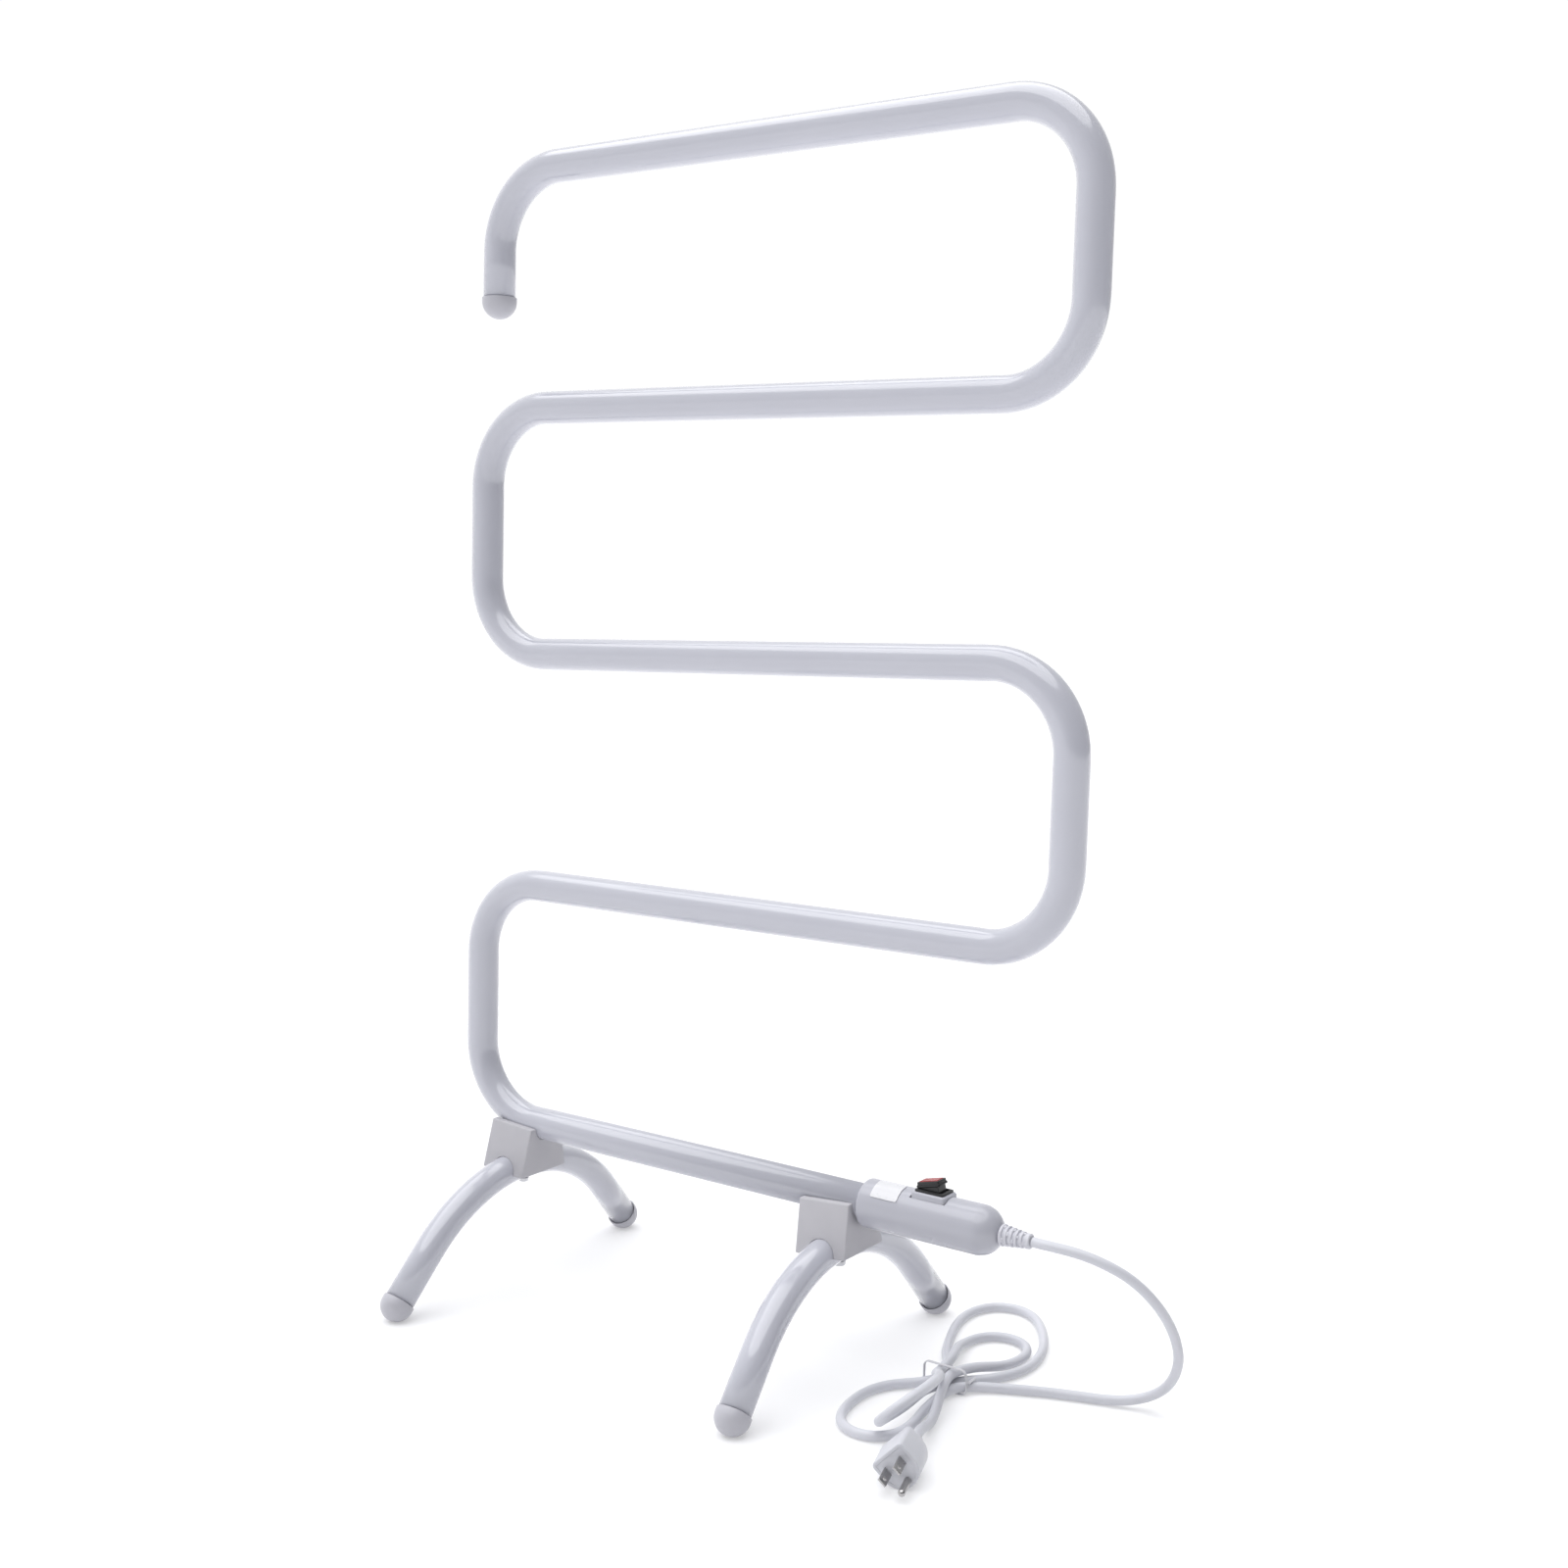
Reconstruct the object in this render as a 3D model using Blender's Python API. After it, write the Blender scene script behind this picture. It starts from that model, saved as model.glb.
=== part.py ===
"""Free-standing electric towel warmer.

One bent steel tube makes five bars between its uprights.  Two arched feet carry the
lowest bar in moulded saddles, and a switch housing closes the tube's lower end, where
the mains cord leaves.  Metres, +Z up, +X along the bars.  The origin is on the floor
under the middle of the rack.
"""
import math

import bmesh
import bpy
import numpy as np
from mathutils import Matrix, Vector

GAP = 0.0003                    # between pieces that touch

# Rack tube
TUBE_D = 0.025
TUBE_WALL = 0.0012
BEND_RADIUS = 0.060             # of the centre line
UPRIGHT_SPACING = 0.520         # between the uprights' centre lines
BAR_PITCHES = (0.1945, 0.188, 0.1835, 0.184)    # from the lowest bar upwards
BAR_SLOPES = (0.0, 0.5, 1.5, -0.6, 0.0)         # degrees up towards +X, same order
HOOK_INSET = 0.010              # of the hook from the left upright's line
HOOK_DROP = 0.098               # from the top bar down to the end cap's dome
CABLE_D = 0.006                 # heating cable in the tube
CABLE_SHORT = 0.009             # of the tube's lower end

# End caps
CAP_WALL = 0.0008
CAP_SKIRT = 0.003               # sleeve above the dome's centre
CAP_SEAT = 0.002                # bore below the dome's centre

# Feet
FOOT_D = 0.0234
FOOT_WALL = 0.0012
FOOT_ARCH_RADIUS = 0.140
FOOT_LEG_SLOPE = math.radians(48.0)
FOOT_REACH = 0.1345             # from the rack's plane to a cap's dome centre
FOOT_PAD_RISE = 0.0006          # how much of a dome is flattened on the floor
FOOT_SPLAY = math.radians(4.0)
FOOT_LEFT_INSET = 0.0408        # from the left upright's line, at the floor
FOOT_TO_HOUSING = 0.0160        # from the right foot, at the floor, to the housing

# Saddles
SADDLE_LENGTH = 0.042           # along the bar
SADDLE_TOP = 0.036              # across the bar, at its axis
SADDLE_BASE = 0.052             # across the bar, at the bottom
SADDLE_WEB = 0.0118             # between bar and foot
SADDLE_SKIRT = 0.0025           # below the foot tube's axis
SADDLE_EDGE = 0.0015
SCREW_D = 0.005
SCREW_HEAD_D = 0.0088
SCREW_HEAD = 0.0032
SCREW_BITE = 0.008              # into the web
HOLE_CLEARANCE = 0.0004

# Switch housing
HOUSING_ROOM = 0.005            # round the rack tube
HOUSING_LENGTH = 0.110
HOUSING_WALL = 0.002
HOUSING_EDGE = 0.003            # rounding of the tube end
HOUSING_INSET = 0.0355          # dome's end from the right upright's line
SEAM_MARGIN = 0.0010            # of the parting line below the tube
TUBE_ENGAGEMENT = 0.034         # of the rack tube in the housing
POST_D = 0.0056
POST_FROM_TUBE = 0.0033         # first screw post, past the tube's end
POST_FROM_DOME = 0.010          # second screw post, before the dome
SMALL_SCREW_D = 0.0026
SMALL_HEAD_D = 0.0052
SMALL_HEAD = 0.0018

# Rocker switch
SWITCH_OFFSET = 0.0545          # from the housing's tube end
BEZEL = (0.0275, 0.019, 0.0085)
BEZEL_STAND = 0.0016            # above the housing's crown
BEZEL_CHAMFER = 0.0009
BODY = (0.0196, 0.0136, 0.0225)
BODY_WALL = 0.0009
WELL_DEPTH = 0.0078
PIVOT_DROP = 0.0026             # below the bezel's top
ROCKER_TILT = math.radians(14.0)
ROCKER_NECK = (0.0152, 0.0110)
ROCKER_TOP = (0.0186, 0.0128)
ROCKER_FOOT = 0.0030            # below the pivot
ROCKER_SHOULDER = 0.0070        # above the pivot
ROCKER_HEIGHT = 0.0106          # above the pivot
LENS_SINK = 0.0016
LENS_STAND = 0.0004
LENS_RIM = 0.0013
PIN_D = 0.0022
BOOT = (0.0230, 0.0165, 0.0013)
BOOT_PLAY = (0.0032, 0.0010)    # round the rocker, along and across
TERMINAL = (0.0008, 0.0048, 0.0072)
TERMINAL_PITCH = 0.006

# Strain relief and cord
CORD_D = 0.007
RELIEF_D = 0.0152
RELIEF_TIP_D = 0.0106
RELIEF_LENGTH = 0.022
RELIEF_NECK_D = 0.0110
RELIEF_FLANGE_D = 0.0160
RELIEF_FLANGE = 0.002           # thickness of the flange inside the dome
RELIEF_SEAT = 0.0006            # of the outer shoulder below the dome's end
RELIEF_GROOVES = 5
RELIEF_GROOVE = 0.0012          # depth of a groove
RELIEF_COLLAR = 0.0035          # plain end
TIE_D = 0.0012
CORD_STEP = 0.0195              # between the cord tube's points

# Plug
PLUG_TURN = math.radians(-72.0)     # of the blades' direction, from +X
PLUG_ROLL = math.radians(-45.0)
PLUG_WIDTH = 0.026
PLUG_CORNER = 0.003
PLUG_BODY = 0.027
PLUG_NECK = 0.017
PLUG_NECK_D = 0.0125
PLUG_LEAD_IN = 0.008            # straight end of the cord
BLADE = (0.0016, 0.0064, 0.0160)
BLADE_PITCH = 0.0127
BLADE_RISE = 0.0035             # of the blades over the cord's axis, to the flat side
EARTH_PIN_D = 0.0048
EARTH_PIN = 0.0190
EARTH_DROP = 0.0119

# The cord's route, counted along X from the housing's end.  The descent gives heights
# as a share of the drop from the bar's axis to the cord's axis where it lies.
CORD_LIES = 0.0038
CORD_DESCENT = (
    (0.0375, 0.000, 1.000), (0.0545, 0.004, 0.984), (0.0705, 0.010, 0.943),
    (0.0855, 0.019, 0.867), (0.0975, 0.029, 0.754), (0.105, 0.040, 0.617),
    (0.1075, 0.051, 0.472), (0.1055, 0.061, 0.332), (0.0995, 0.068, 0.207),
    (0.0905, 0.0715, 0.110), (0.0785, 0.070, 0.046), (0.0625, 0.0645, 0.010),
    (0.0395, 0.057, 0.000), (0.0155, 0.048, 0.000), (-0.0065, 0.0375, 0.000),
    (-0.0215, 0.029, 0.002), (-0.0325, 0.0195, 0.008), (-0.0385, 0.0085, 0.014),
    (-0.0405, -0.004, 0.010), (-0.0405, -0.018, 0.000),
)
CORD_NEAR_LOOP = (
    (-0.0385, -0.034, 0.0038), (-0.0355, -0.049, 0.0038), (-0.0345, -0.064, 0.0038),
    (-0.0375, -0.077, 0.0038), (-0.0465, -0.086, 0.0038), (-0.0585, -0.0885, 0.0038),
    (-0.0705, -0.084, 0.0038), (-0.0795, -0.073, 0.0038), (-0.0845, -0.058, 0.0038),
    (-0.0865, -0.042, 0.0038), (-0.0855, -0.027, 0.0038), (-0.0805, -0.013, 0.0038),
    (-0.072, -0.002, 0.004), (-0.0625, 0.006, 0.005), (-0.0565, 0.0155, 0.0056),
)
CORD_FAR_LOOP = (
    (-0.0555, 0.028, 0.0046), (-0.062, 0.043, 0.0038), (-0.0755, 0.064, 0.0038),
    (-0.086, 0.088, 0.0038), (-0.0945, 0.112, 0.0038), (-0.0985, 0.132, 0.0038),
    (-0.0975, 0.150, 0.0038), (-0.0885, 0.166, 0.0038), (-0.0735, 0.172, 0.0038),
    (-0.0575, 0.167, 0.0038), (-0.0435, 0.153, 0.0038), (-0.0315, 0.135, 0.0038),
    (-0.0215, 0.114, 0.0038), (-0.016, 0.093, 0.0038), (-0.0155, 0.074, 0.0038),
    (-0.02, 0.057, 0.0038), (-0.0285, 0.042, 0.0038), (-0.039, 0.027, 0.0046),
    (-0.0465, 0.013, 0.0056),
)
CORD_RAISED_LOOP = (
    (-0.0485, -0.002, 0.008), (-0.0475, -0.018, 0.0108), (-0.0455, -0.036, 0.0116),
    (-0.0445, -0.050, 0.0117), (-0.0443, -0.064, 0.012), (-0.0437, -0.078, 0.0132),
    (-0.039, -0.0903, 0.0177), (-0.0302, -0.0953, 0.0263), (-0.0214, -0.0903, 0.0349),
    (-0.0169, -0.078, 0.039), (-0.0175, -0.063, 0.0388), (-0.0215, -0.047, 0.036),
    (-0.0275, -0.032, 0.0315), (-0.0345, -0.0185, 0.026), (-0.0425, -0.0065, 0.0202),
    (-0.0497, 0.004, 0.0156), (-0.0527, 0.015, 0.0134),
)
CORD_SHORT_LOOP = (
    (-0.0557, 0.028, 0.0123), (-0.059, 0.043, 0.0115), (-0.0645, 0.058, 0.010),
    (-0.0695, 0.073, 0.0075), (-0.072, 0.088, 0.0046), (-0.07, 0.102, 0.0038),
    (-0.0615, 0.113, 0.0038), (-0.0485, 0.117, 0.0038), (-0.0355, 0.112, 0.0038),
    (-0.028, 0.100, 0.0038), (-0.0265, 0.086, 0.0038), (-0.0285, 0.072, 0.0045),
    (-0.032, 0.058, 0.0068), (-0.036, 0.045, 0.0098), (-0.0397, 0.032, 0.012),
    (-0.0427, 0.020, 0.0129),
)
CORD_LEAD = (
    (-0.0425, 0.008, 0.0131), (-0.039, -0.004, 0.0126), (-0.035, -0.016, 0.011),
    (-0.0307, -0.028, 0.008), (-0.0265, -0.041, 0.0056), (-0.023, -0.054, 0.0062),
    (-0.0195, -0.0665, 0.0098),
)
PLUG_ENTRY = (-0.0113, -0.0915, PLUG_WIDTH / 2 + GAP)
TIE_CENTRE = (-0.0477, 0.013, 0.0097)
TIE_HALF = (0.0164, 0.0084)     # half width and half height inside the tie
TIE_CORNER = 0.0036

# Values that follow from the ones above
TUBE_R = TUBE_D / 2
FOOT_R = FOOT_D / 2
HOUSING_R = TUBE_R + HOUSING_ROOM
HALF_SPACING = UPRIGHT_SPACING / 2
FOOT_CAP_R = FOOT_R + GAP + CAP_WALL
HOOK_CAP_R = TUBE_R + GAP + CAP_WALL
DOME_HEIGHT = FOOT_CAP_R - FOOT_PAD_RISE
LEG_TOP = FOOT_ARCH_RADIUS * math.sin(FOOT_LEG_SLOPE)
FOOT_APEX = (DOME_HEIGHT + (FOOT_REACH - LEG_TOP) * math.tan(FOOT_LEG_SLOPE)
             + FOOT_ARCH_RADIUS * (1 - math.cos(FOOT_LEG_SLOPE)))
BAR_ABOVE_FLOOR = FOOT_APEX + FOOT_R + SADDLE_WEB + TUBE_R      # square to the foot
LOWEST_BAR = BAR_ABOVE_FLOOR * math.cos(FOOT_SPLAY)
HOUSING_END = HALF_SPACING - HOUSING_INSET
HOUSING_START = HOUSING_END - HOUSING_LENGTH
DOME_CENTRE = HOUSING_END - HOUSING_R
TUBE_END = HOUSING_START + TUBE_ENGAGEMENT
CABLE_END = TUBE_END - CABLE_SHORT
SEAM = LOWEST_BAR - TUBE_R - SEAM_MARGIN
FOOT_LEFT = -HALF_SPACING + FOOT_LEFT_INSET
FOOT_RIGHT = HOUSING_START - FOOT_TO_HOUSING
SWITCH_X = HOUSING_START + SWITCH_OFFSET
CROWN = LOWEST_BAR + HOUSING_R
BEZEL_TOP = CROWN + BEZEL_STAND
PIVOT = BEZEL_TOP - PIVOT_DROP
HOUSING_INNER_R = HOUSING_R - HOUSING_WALL
RELIEF_FACE = (math.sqrt((HOUSING_INNER_R - GAP) ** 2 - (RELIEF_FLANGE_D / 2) ** 2)
               - RELIEF_FLANGE)

TUBE_SIDES = 16
BORE_SIDES = 8
BEND_STEPS = 6
ARCH_STEPS = 12


# Making meshes ---------------------------------------------------------------

def finish(name, colour, roughness, metallic=0.0):
    """A plain finish of one colour."""
    material = bpy.data.materials.new(name)
    material.use_nodes = True
    shader = material.node_tree.nodes["Principled BSDF"]
    shader.inputs["Base Color"].default_value = (*colour, 1.0)
    shader.inputs["Roughness"].default_value = roughness
    shader.inputs["Metallic"].default_value = metallic
    return material


def add_object(name, data, material=None, parent=None):
    """Link mesh or curve data into the scene as one named object."""
    obj = bpy.data.objects.new(name, data)
    bpy.context.scene.collection.objects.link(obj)
    if material:
        data.materials.append(material)
    obj.parent = parent
    return obj


def from_bmesh(name, bm, material=None, parent=None, smooth=True):
    """Close a bmesh into a named object with its faces pointing out."""
    bmesh.ops.recalc_face_normals(bm, faces=bm.faces)
    mesh = bpy.data.meshes.new(name)
    bm.to_mesh(mesh)
    bm.free()
    if smooth:
        mesh.shade_smooth()
        mesh.set_sharp_from_angle(angle=math.radians(35))
    return add_object(name, mesh, material, parent)


def box(name, low, high, material=None, parent=None, edge=0.0):
    """A block between two corners, with its edges rounded if asked."""
    bm = bmesh.new()
    middle = (Vector(low) + Vector(high)) / 2
    size = Vector(high) - Vector(low)
    bmesh.ops.create_cube(bm, size=1.0)
    bmesh.ops.scale(bm, vec=size, verts=bm.verts)
    bmesh.ops.translate(bm, vec=middle, verts=bm.verts)
    if edge:
        bmesh.ops.bevel(bm, geom=bm.edges[:], offset=edge, segments=2, profile=0.5,
                        affect="EDGES")
    return from_bmesh(name, bm, material, parent, smooth=False)


def turned_bmesh(profile, steps):
    """A (radius, height) outline spun about Z; off the axis it closes on itself."""
    bm = bmesh.new()
    verts = [bm.verts.new((radius, 0, height)) for radius, height in profile]
    edges = [bm.edges.new(pair) for pair in zip(verts, verts[1:])]
    if profile[0][0] > 0:
        edges.append(bm.edges.new((verts[-1], verts[0])))
    bmesh.ops.spin(bm, geom=verts + edges, cent=(0, 0, 0), axis=(0, 0, 1),
                   angle=math.tau, steps=steps, use_merge=True)
    bmesh.ops.remove_doubles(bm, verts=bm.verts, dist=1e-7)
    on_axis = [edge for edge in bm.edges if edge.is_wire]
    bmesh.ops.delete(bm, geom=on_axis, context="EDGES")
    return bm


def turned(name, profile, material=None, steps=20, frame=None, parent=None):
    """A turned piece; frame carries its Z axis and origin into place."""
    bm = turned_bmesh(profile, steps)
    if frame:
        bmesh.ops.transform(bm, matrix=frame, verts=bm.verts)
    return from_bmesh(name, bm, material, parent)


def along(axis, origin):
    """A frame at origin whose Z axis points along axis."""
    turn = Vector((0, 0, 1)).rotation_difference(Vector(axis))
    return Matrix.Translation(origin) @ turn.to_matrix().to_4x4()


def cylinder(name, radius, low, high, frame, material=None, steps=16, parent=None):
    """A plain rod from low to high along its frame's Z axis."""
    outline = ((0, low), (radius, low), (radius, high), (0, high))
    return turned(name, outline, material, steps, frame, parent)


def arc(centre, radius, start, end, steps):
    """Points of an arc in the outline's own plane, angles in radians."""
    angles = [start + (end - start) * i / steps for i in range(steps + 1)]
    return [(centre[0] + radius * math.cos(a), centre[1] + radius * math.sin(a))
            for a in angles]


def cut(target, cutter, operation="DIFFERENCE"):
    """Cut, join or trim one object by another, which stays as a hidden guide."""
    cutter.hide_render = True
    cutter.display_type = "WIRE"
    modifier = target.modifiers.new(cutter.name, "BOOLEAN")
    modifier.operation = operation
    modifier.object = cutter


def rounded_path(corners, radius, steps):
    """The centre line through corners, each turned at the given radius."""
    points = [Vector(corners[0])]
    for before, corner, after in zip(corners, corners[1:], corners[2:]):
        corner = Vector(corner)
        back = (Vector(before) - corner).normalized()
        ahead = (Vector(after) - corner).normalized()
        half = back.angle(ahead) / 2
        start = corner + back * radius / math.tan(half)
        centre = corner + (back + ahead).normalized() * radius / math.sin(half)
        axis = back.cross(ahead)
        for i in range(steps + 1):
            turn = Matrix.Rotation(-(math.pi - 2 * half) * i / steps, 3, axis)
            points.append(centre + turn @ (start - centre))
    points.append(Vector(corners[-1]))
    return points


def ring(bm, radius, sides, point, direction, side):
    """A circle of vertices around a point of a tube's centre line."""
    up = direction.cross(side)
    angles = [math.tau * i / sides for i in range(sides)]
    return [bm.verts.new(point + radius * (math.cos(a) * side + math.sin(a) * up))
            for a in angles]


def loop_edges(bm, verts):
    """The closed loop of edges through vertices in order."""
    return [bm.edges.new(pair) for pair in zip(verts, verts[1:] + verts[:1])]


def skin(bm, rings):
    """Walls between successive loops of vertices."""
    loops = [loop_edges(bm, verts) for verts in rings]
    for first, second in zip(loops, loops[1:]):
        bmesh.ops.bridge_loops(bm, edges=first + second)


def bent_tube_bmesh(path, side, radius, sides, bore=0.0, bore_sides=0):
    """A round tube or rod along a flat path; side is the path plane's normal."""
    bm = bmesh.new()
    ahead = [(path[min(i + 1, len(path) - 1)] - path[max(i - 1, 0)]).normalized()
             for i in range(len(path))]
    outer = [ring(bm, radius, sides, *place, side) for place in zip(path, ahead)]
    skin(bm, outer)
    if not bore:
        bm.faces.new(outer[0])
        bm.faces.new(outer[-1])
        return bm
    inner = [ring(bm, bore, bore_sides, *place, side) for place in zip(path, ahead)]
    skin(bm, inner)
    share = sides // bore_sides
    for rim, hole in ((outer[0], inner[0]), (outer[-1], inner[-1])):
        rim = rim + rim[:1]
        hole = hole + hole[:1]
        for i in range(bore_sides):
            wedge = rim[share * i:share * (i + 1) + 1]
            bm.faces.new(wedge + [hole[i + 1], hole[i]])
    return bm


def smooth_route(route, step):
    """Evenly spaced points of the natural cubic spline through a route."""
    knots = np.array(route)
    count = len(knots)
    spans = np.linalg.norm(np.diff(knots, axis=0), axis=1)
    reach = np.concatenate(([0.0], np.cumsum(spans)))
    system = np.eye(count)
    slopes = np.zeros((count, 3))
    for i in range(1, count - 1):
        before, after = spans[i - 1], spans[i]
        system[i, i - 1:i + 2] = before, 2 * (before + after), after
        slopes[i] = 6 * ((knots[i + 1] - knots[i]) / after
                         - (knots[i] - knots[i - 1]) / before)
    bends = np.linalg.solve(system, slopes)
    places = np.linspace(0.0, reach[-1], round(reach[-1] / step) + 1)
    span = np.clip(np.searchsorted(reach, places, side="right") - 1, 0, count - 2)
    width = spans[span][:, None]
    left = (reach[span + 1] - places)[:, None] / width
    right = 1 - left
    return (left * knots[span] + right * knots[span + 1]
            + ((left ** 3 - left) * bends[span]
               + (right ** 3 - right) * bends[span + 1]) * width ** 2 / 6)


def round_cord(name, points, radius, material, resolution=2):
    """A solid round cord, cable or wire through the given points."""
    curve = bpy.data.curves.new(name, "CURVE")
    curve.dimensions = "3D"
    curve.bevel_depth = radius
    curve.bevel_resolution = resolution
    curve.use_fill_caps = True
    spline = curve.splines.new("POLY")
    spline.points.add(len(points) - 1)
    for knot, point in zip(spline.points, points):
        knot.co = (*point, 1.0)
    return add_object(name, curve, material)


# Finishes --------------------------------------------------------------------

def make_finishes():
    return {
        "powder_coat": finish("powder_coat", (0.83, 0.84, 0.86), 0.28),
        "saddle_plastic": finish("saddle_plastic", (0.72, 0.72, 0.73), 0.50),
        "cap_plastic": finish("cap_plastic", (0.80, 0.81, 0.83), 0.40),
        "housing_plastic": finish("housing_plastic", (0.80, 0.80, 0.84), 0.25),
        "label_film": finish("label_film", (0.90, 0.90, 0.91), 0.45),
        "black_plastic": finish("black_plastic", (0.015, 0.015, 0.017), 0.40),
        "black_rubber": finish("black_rubber", (0.02, 0.02, 0.022), 0.60),
        "red_lens": finish("red_lens", (0.45, 0.02, 0.02), 0.20),
        "cord_pvc": finish("cord_pvc", (0.80, 0.81, 0.84), 0.40),
        "plated_steel": finish("plated_steel", (0.70, 0.70, 0.70), 0.30, 1.0),
        "brass": finish("brass", (0.75, 0.58, 0.30), 0.30, 1.0),
        "cable_sheath": finish("cable_sheath", (0.45, 0.12, 0.10), 0.50),
        "wire_sheath": finish("wire_sheath", (0.20, 0.20, 0.22), 0.50),
        "ceramic": finish("ceramic", (0.78, 0.74, 0.66), 0.55),
    }


# Rack ------------------------------------------------------------------------

def bar_heights():
    """Heights of the bars at the middle of the rack, lowest first."""
    heights = [LOWEST_BAR]
    for pitch in BAR_PITCHES:
        heights.append(heights[-1] + pitch)
    return heights


def rack_corners(last_x):
    """Corners of the tube's centre line, from the hook to the lower end."""
    def corner(bar, side):
        rise = side * HALF_SPACING * math.tan(math.radians(BAR_SLOPES[bar]))
        return (side * HALF_SPACING, 0, bar_heights()[bar] + rise)

    hook_x = -HALF_SPACING + HOOK_INSET
    top = bar_heights()[-1]
    corners = [(hook_x, 0, top - HOOK_DROP - CAP_SEAT + GAP), (hook_x, 0, top)]
    for bar, side in ((4, 1), (3, 1), (3, -1), (2, -1), (2, 1), (1, 1), (1, -1), (0, -1)):
        corners.append(corner(bar, side))
    corners.append((last_x, 0, LOWEST_BAR))
    return corners


def cap_outline(tube_radius, outer, sides):
    """Outline of an end cap; its dome's centre is at height 0 and its dome up."""
    bore = (tube_radius + GAP) / math.cos(math.pi / sides)
    outline = [(0, CAP_SEAT), (bore, CAP_SEAT), (bore, -CAP_SKIRT), (outer, -CAP_SKIRT)]
    return outline + arc((0, 0), outer, 0, math.pi / 2, 6)


def make_rack(finishes):
    side = Vector((0, 1, 0))
    path = rounded_path(rack_corners(TUBE_END), BEND_RADIUS, BEND_STEPS)
    bm = bent_tube_bmesh(path, side, TUBE_R, TUBE_SIDES, TUBE_R - TUBE_WALL, BORE_SIDES)
    tube = from_bmesh("rack_tube", bm, finishes["powder_coat"])

    cable = rounded_path(rack_corners(CABLE_END), BEND_RADIUS, BEND_STEPS)
    cable[0] += Vector((0, 0, 0.004))
    round_cord("heating_cable", cable, CABLE_D / 2, finishes["cable_sheath"], 1)

    hook_x = -HALF_SPACING + HOOK_INSET
    dome = (hook_x, 0, bar_heights()[-1] - HOOK_DROP)
    turned("hook_end_cap", cap_outline(TUBE_R, HOOK_CAP_R, 20), finishes["cap_plastic"],
           steps=20, frame=along((0, 0, -1), dome))
    return tube


# Feet and saddles ------------------------------------------------------------

def foot_path(end_trim):
    """The foot tube's centre line in its own frame, from front to back."""
    across = (FOOT_REACH - LEG_TOP) / math.cos(FOOT_LEG_SLOPE) - end_trim
    centre = (0.0, FOOT_APEX - FOOT_ARCH_RADIUS)
    start = math.pi / 2 + FOOT_LEG_SLOPE
    bend = arc(centre, FOOT_ARCH_RADIUS, start, math.pi - start, ARCH_STEPS)
    dy = across * math.cos(FOOT_LEG_SLOPE)
    dz = across * math.sin(FOOT_LEG_SLOPE)
    front = (bend[0][0] - dy, bend[0][1] - dz)
    back = (bend[-1][0] + dy, bend[-1][1] - dz)
    return [Vector((0, y, z)) for y, z in [front, *bend, back]]


def make_foot(name, x, splay, bar, finishes):
    """One foot with its tube, two caps, saddle and screw, all in a leaning frame."""
    frame = bpy.data.objects.new(f"foot_frame_{name}", None)
    bpy.context.scene.collection.objects.link(frame)
    frame.matrix_world = Matrix.Translation((x, 0, 0)) @ Matrix.Rotation(splay, 4, "Y")
    lean = frame.matrix_world
    across = Vector((1, 0, 0))

    bore = FOOT_R - FOOT_WALL
    bm = bent_tube_bmesh(foot_path(GAP - CAP_SEAT), across, FOOT_R, TUBE_SIDES, bore,
                         BORE_SIDES)
    tube = from_bmesh(f"foot_tube_{name}", bm, finishes["powder_coat"], frame)

    for place, way in (("front", -1), ("back", 1)):
        leg = Vector((0, way * math.cos(FOOT_LEG_SLOPE), -math.sin(FOOT_LEG_SLOPE)))
        dome = (0, way * FOOT_REACH, DOME_HEIGHT / math.cos(FOOT_SPLAY))
        bm = turned_bmesh(cap_outline(FOOT_R, FOOT_CAP_R, 20), 20)
        bmesh.ops.transform(bm, matrix=lean @ along(leg, dome), verts=bm.verts)
        floor = bmesh.ops.bisect_plane(bm, geom=bm.verts[:] + bm.edges[:] + bm.faces[:],
                                       plane_co=(0, 0, 0), plane_no=(0, 0, -1),
                                       clear_outer=True)
        rim = [edge for edge in floor["geom_cut"] if isinstance(edge, bmesh.types.BMEdge)]
        bmesh.ops.holes_fill(bm, edges=rim)
        from_bmesh(f"foot_cap_{name}_{place}", bm, finishes["cap_plastic"])

    saddle = make_saddle(name, frame, bar, finishes)

    screw_r = SCREW_D / 2
    head_r = SCREW_HEAD_D / 2
    arch_fall = head_r * math.tan(FOOT_LEG_SLOPE / ARCH_STEPS)
    head_top = FOOT_APEX - FOOT_R - GAP - arch_fall
    tip = FOOT_APEX + FOOT_R + GAP + SCREW_BITE
    outline = [(0, tip), (screw_r, tip), (screw_r, head_top), (head_r, head_top)]
    outline += arc((head_r - 0.001, head_top - SCREW_HEAD + 0.001), 0.001, 0,
                   -math.pi / 2, 2)
    outline.append((0, head_top - SCREW_HEAD))
    turned(f"saddle_screw_{name}", outline, finishes["plated_steel"], steps=14,
           parent=frame)
    hole = cylinder(f"screw_hole_{name}", screw_r + HOLE_CLEARANCE, head_top - 0.01,
                    tip + GAP, Matrix.Identity(4), parent=frame)
    cut(tube, hole)
    cut(saddle, hole)


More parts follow.
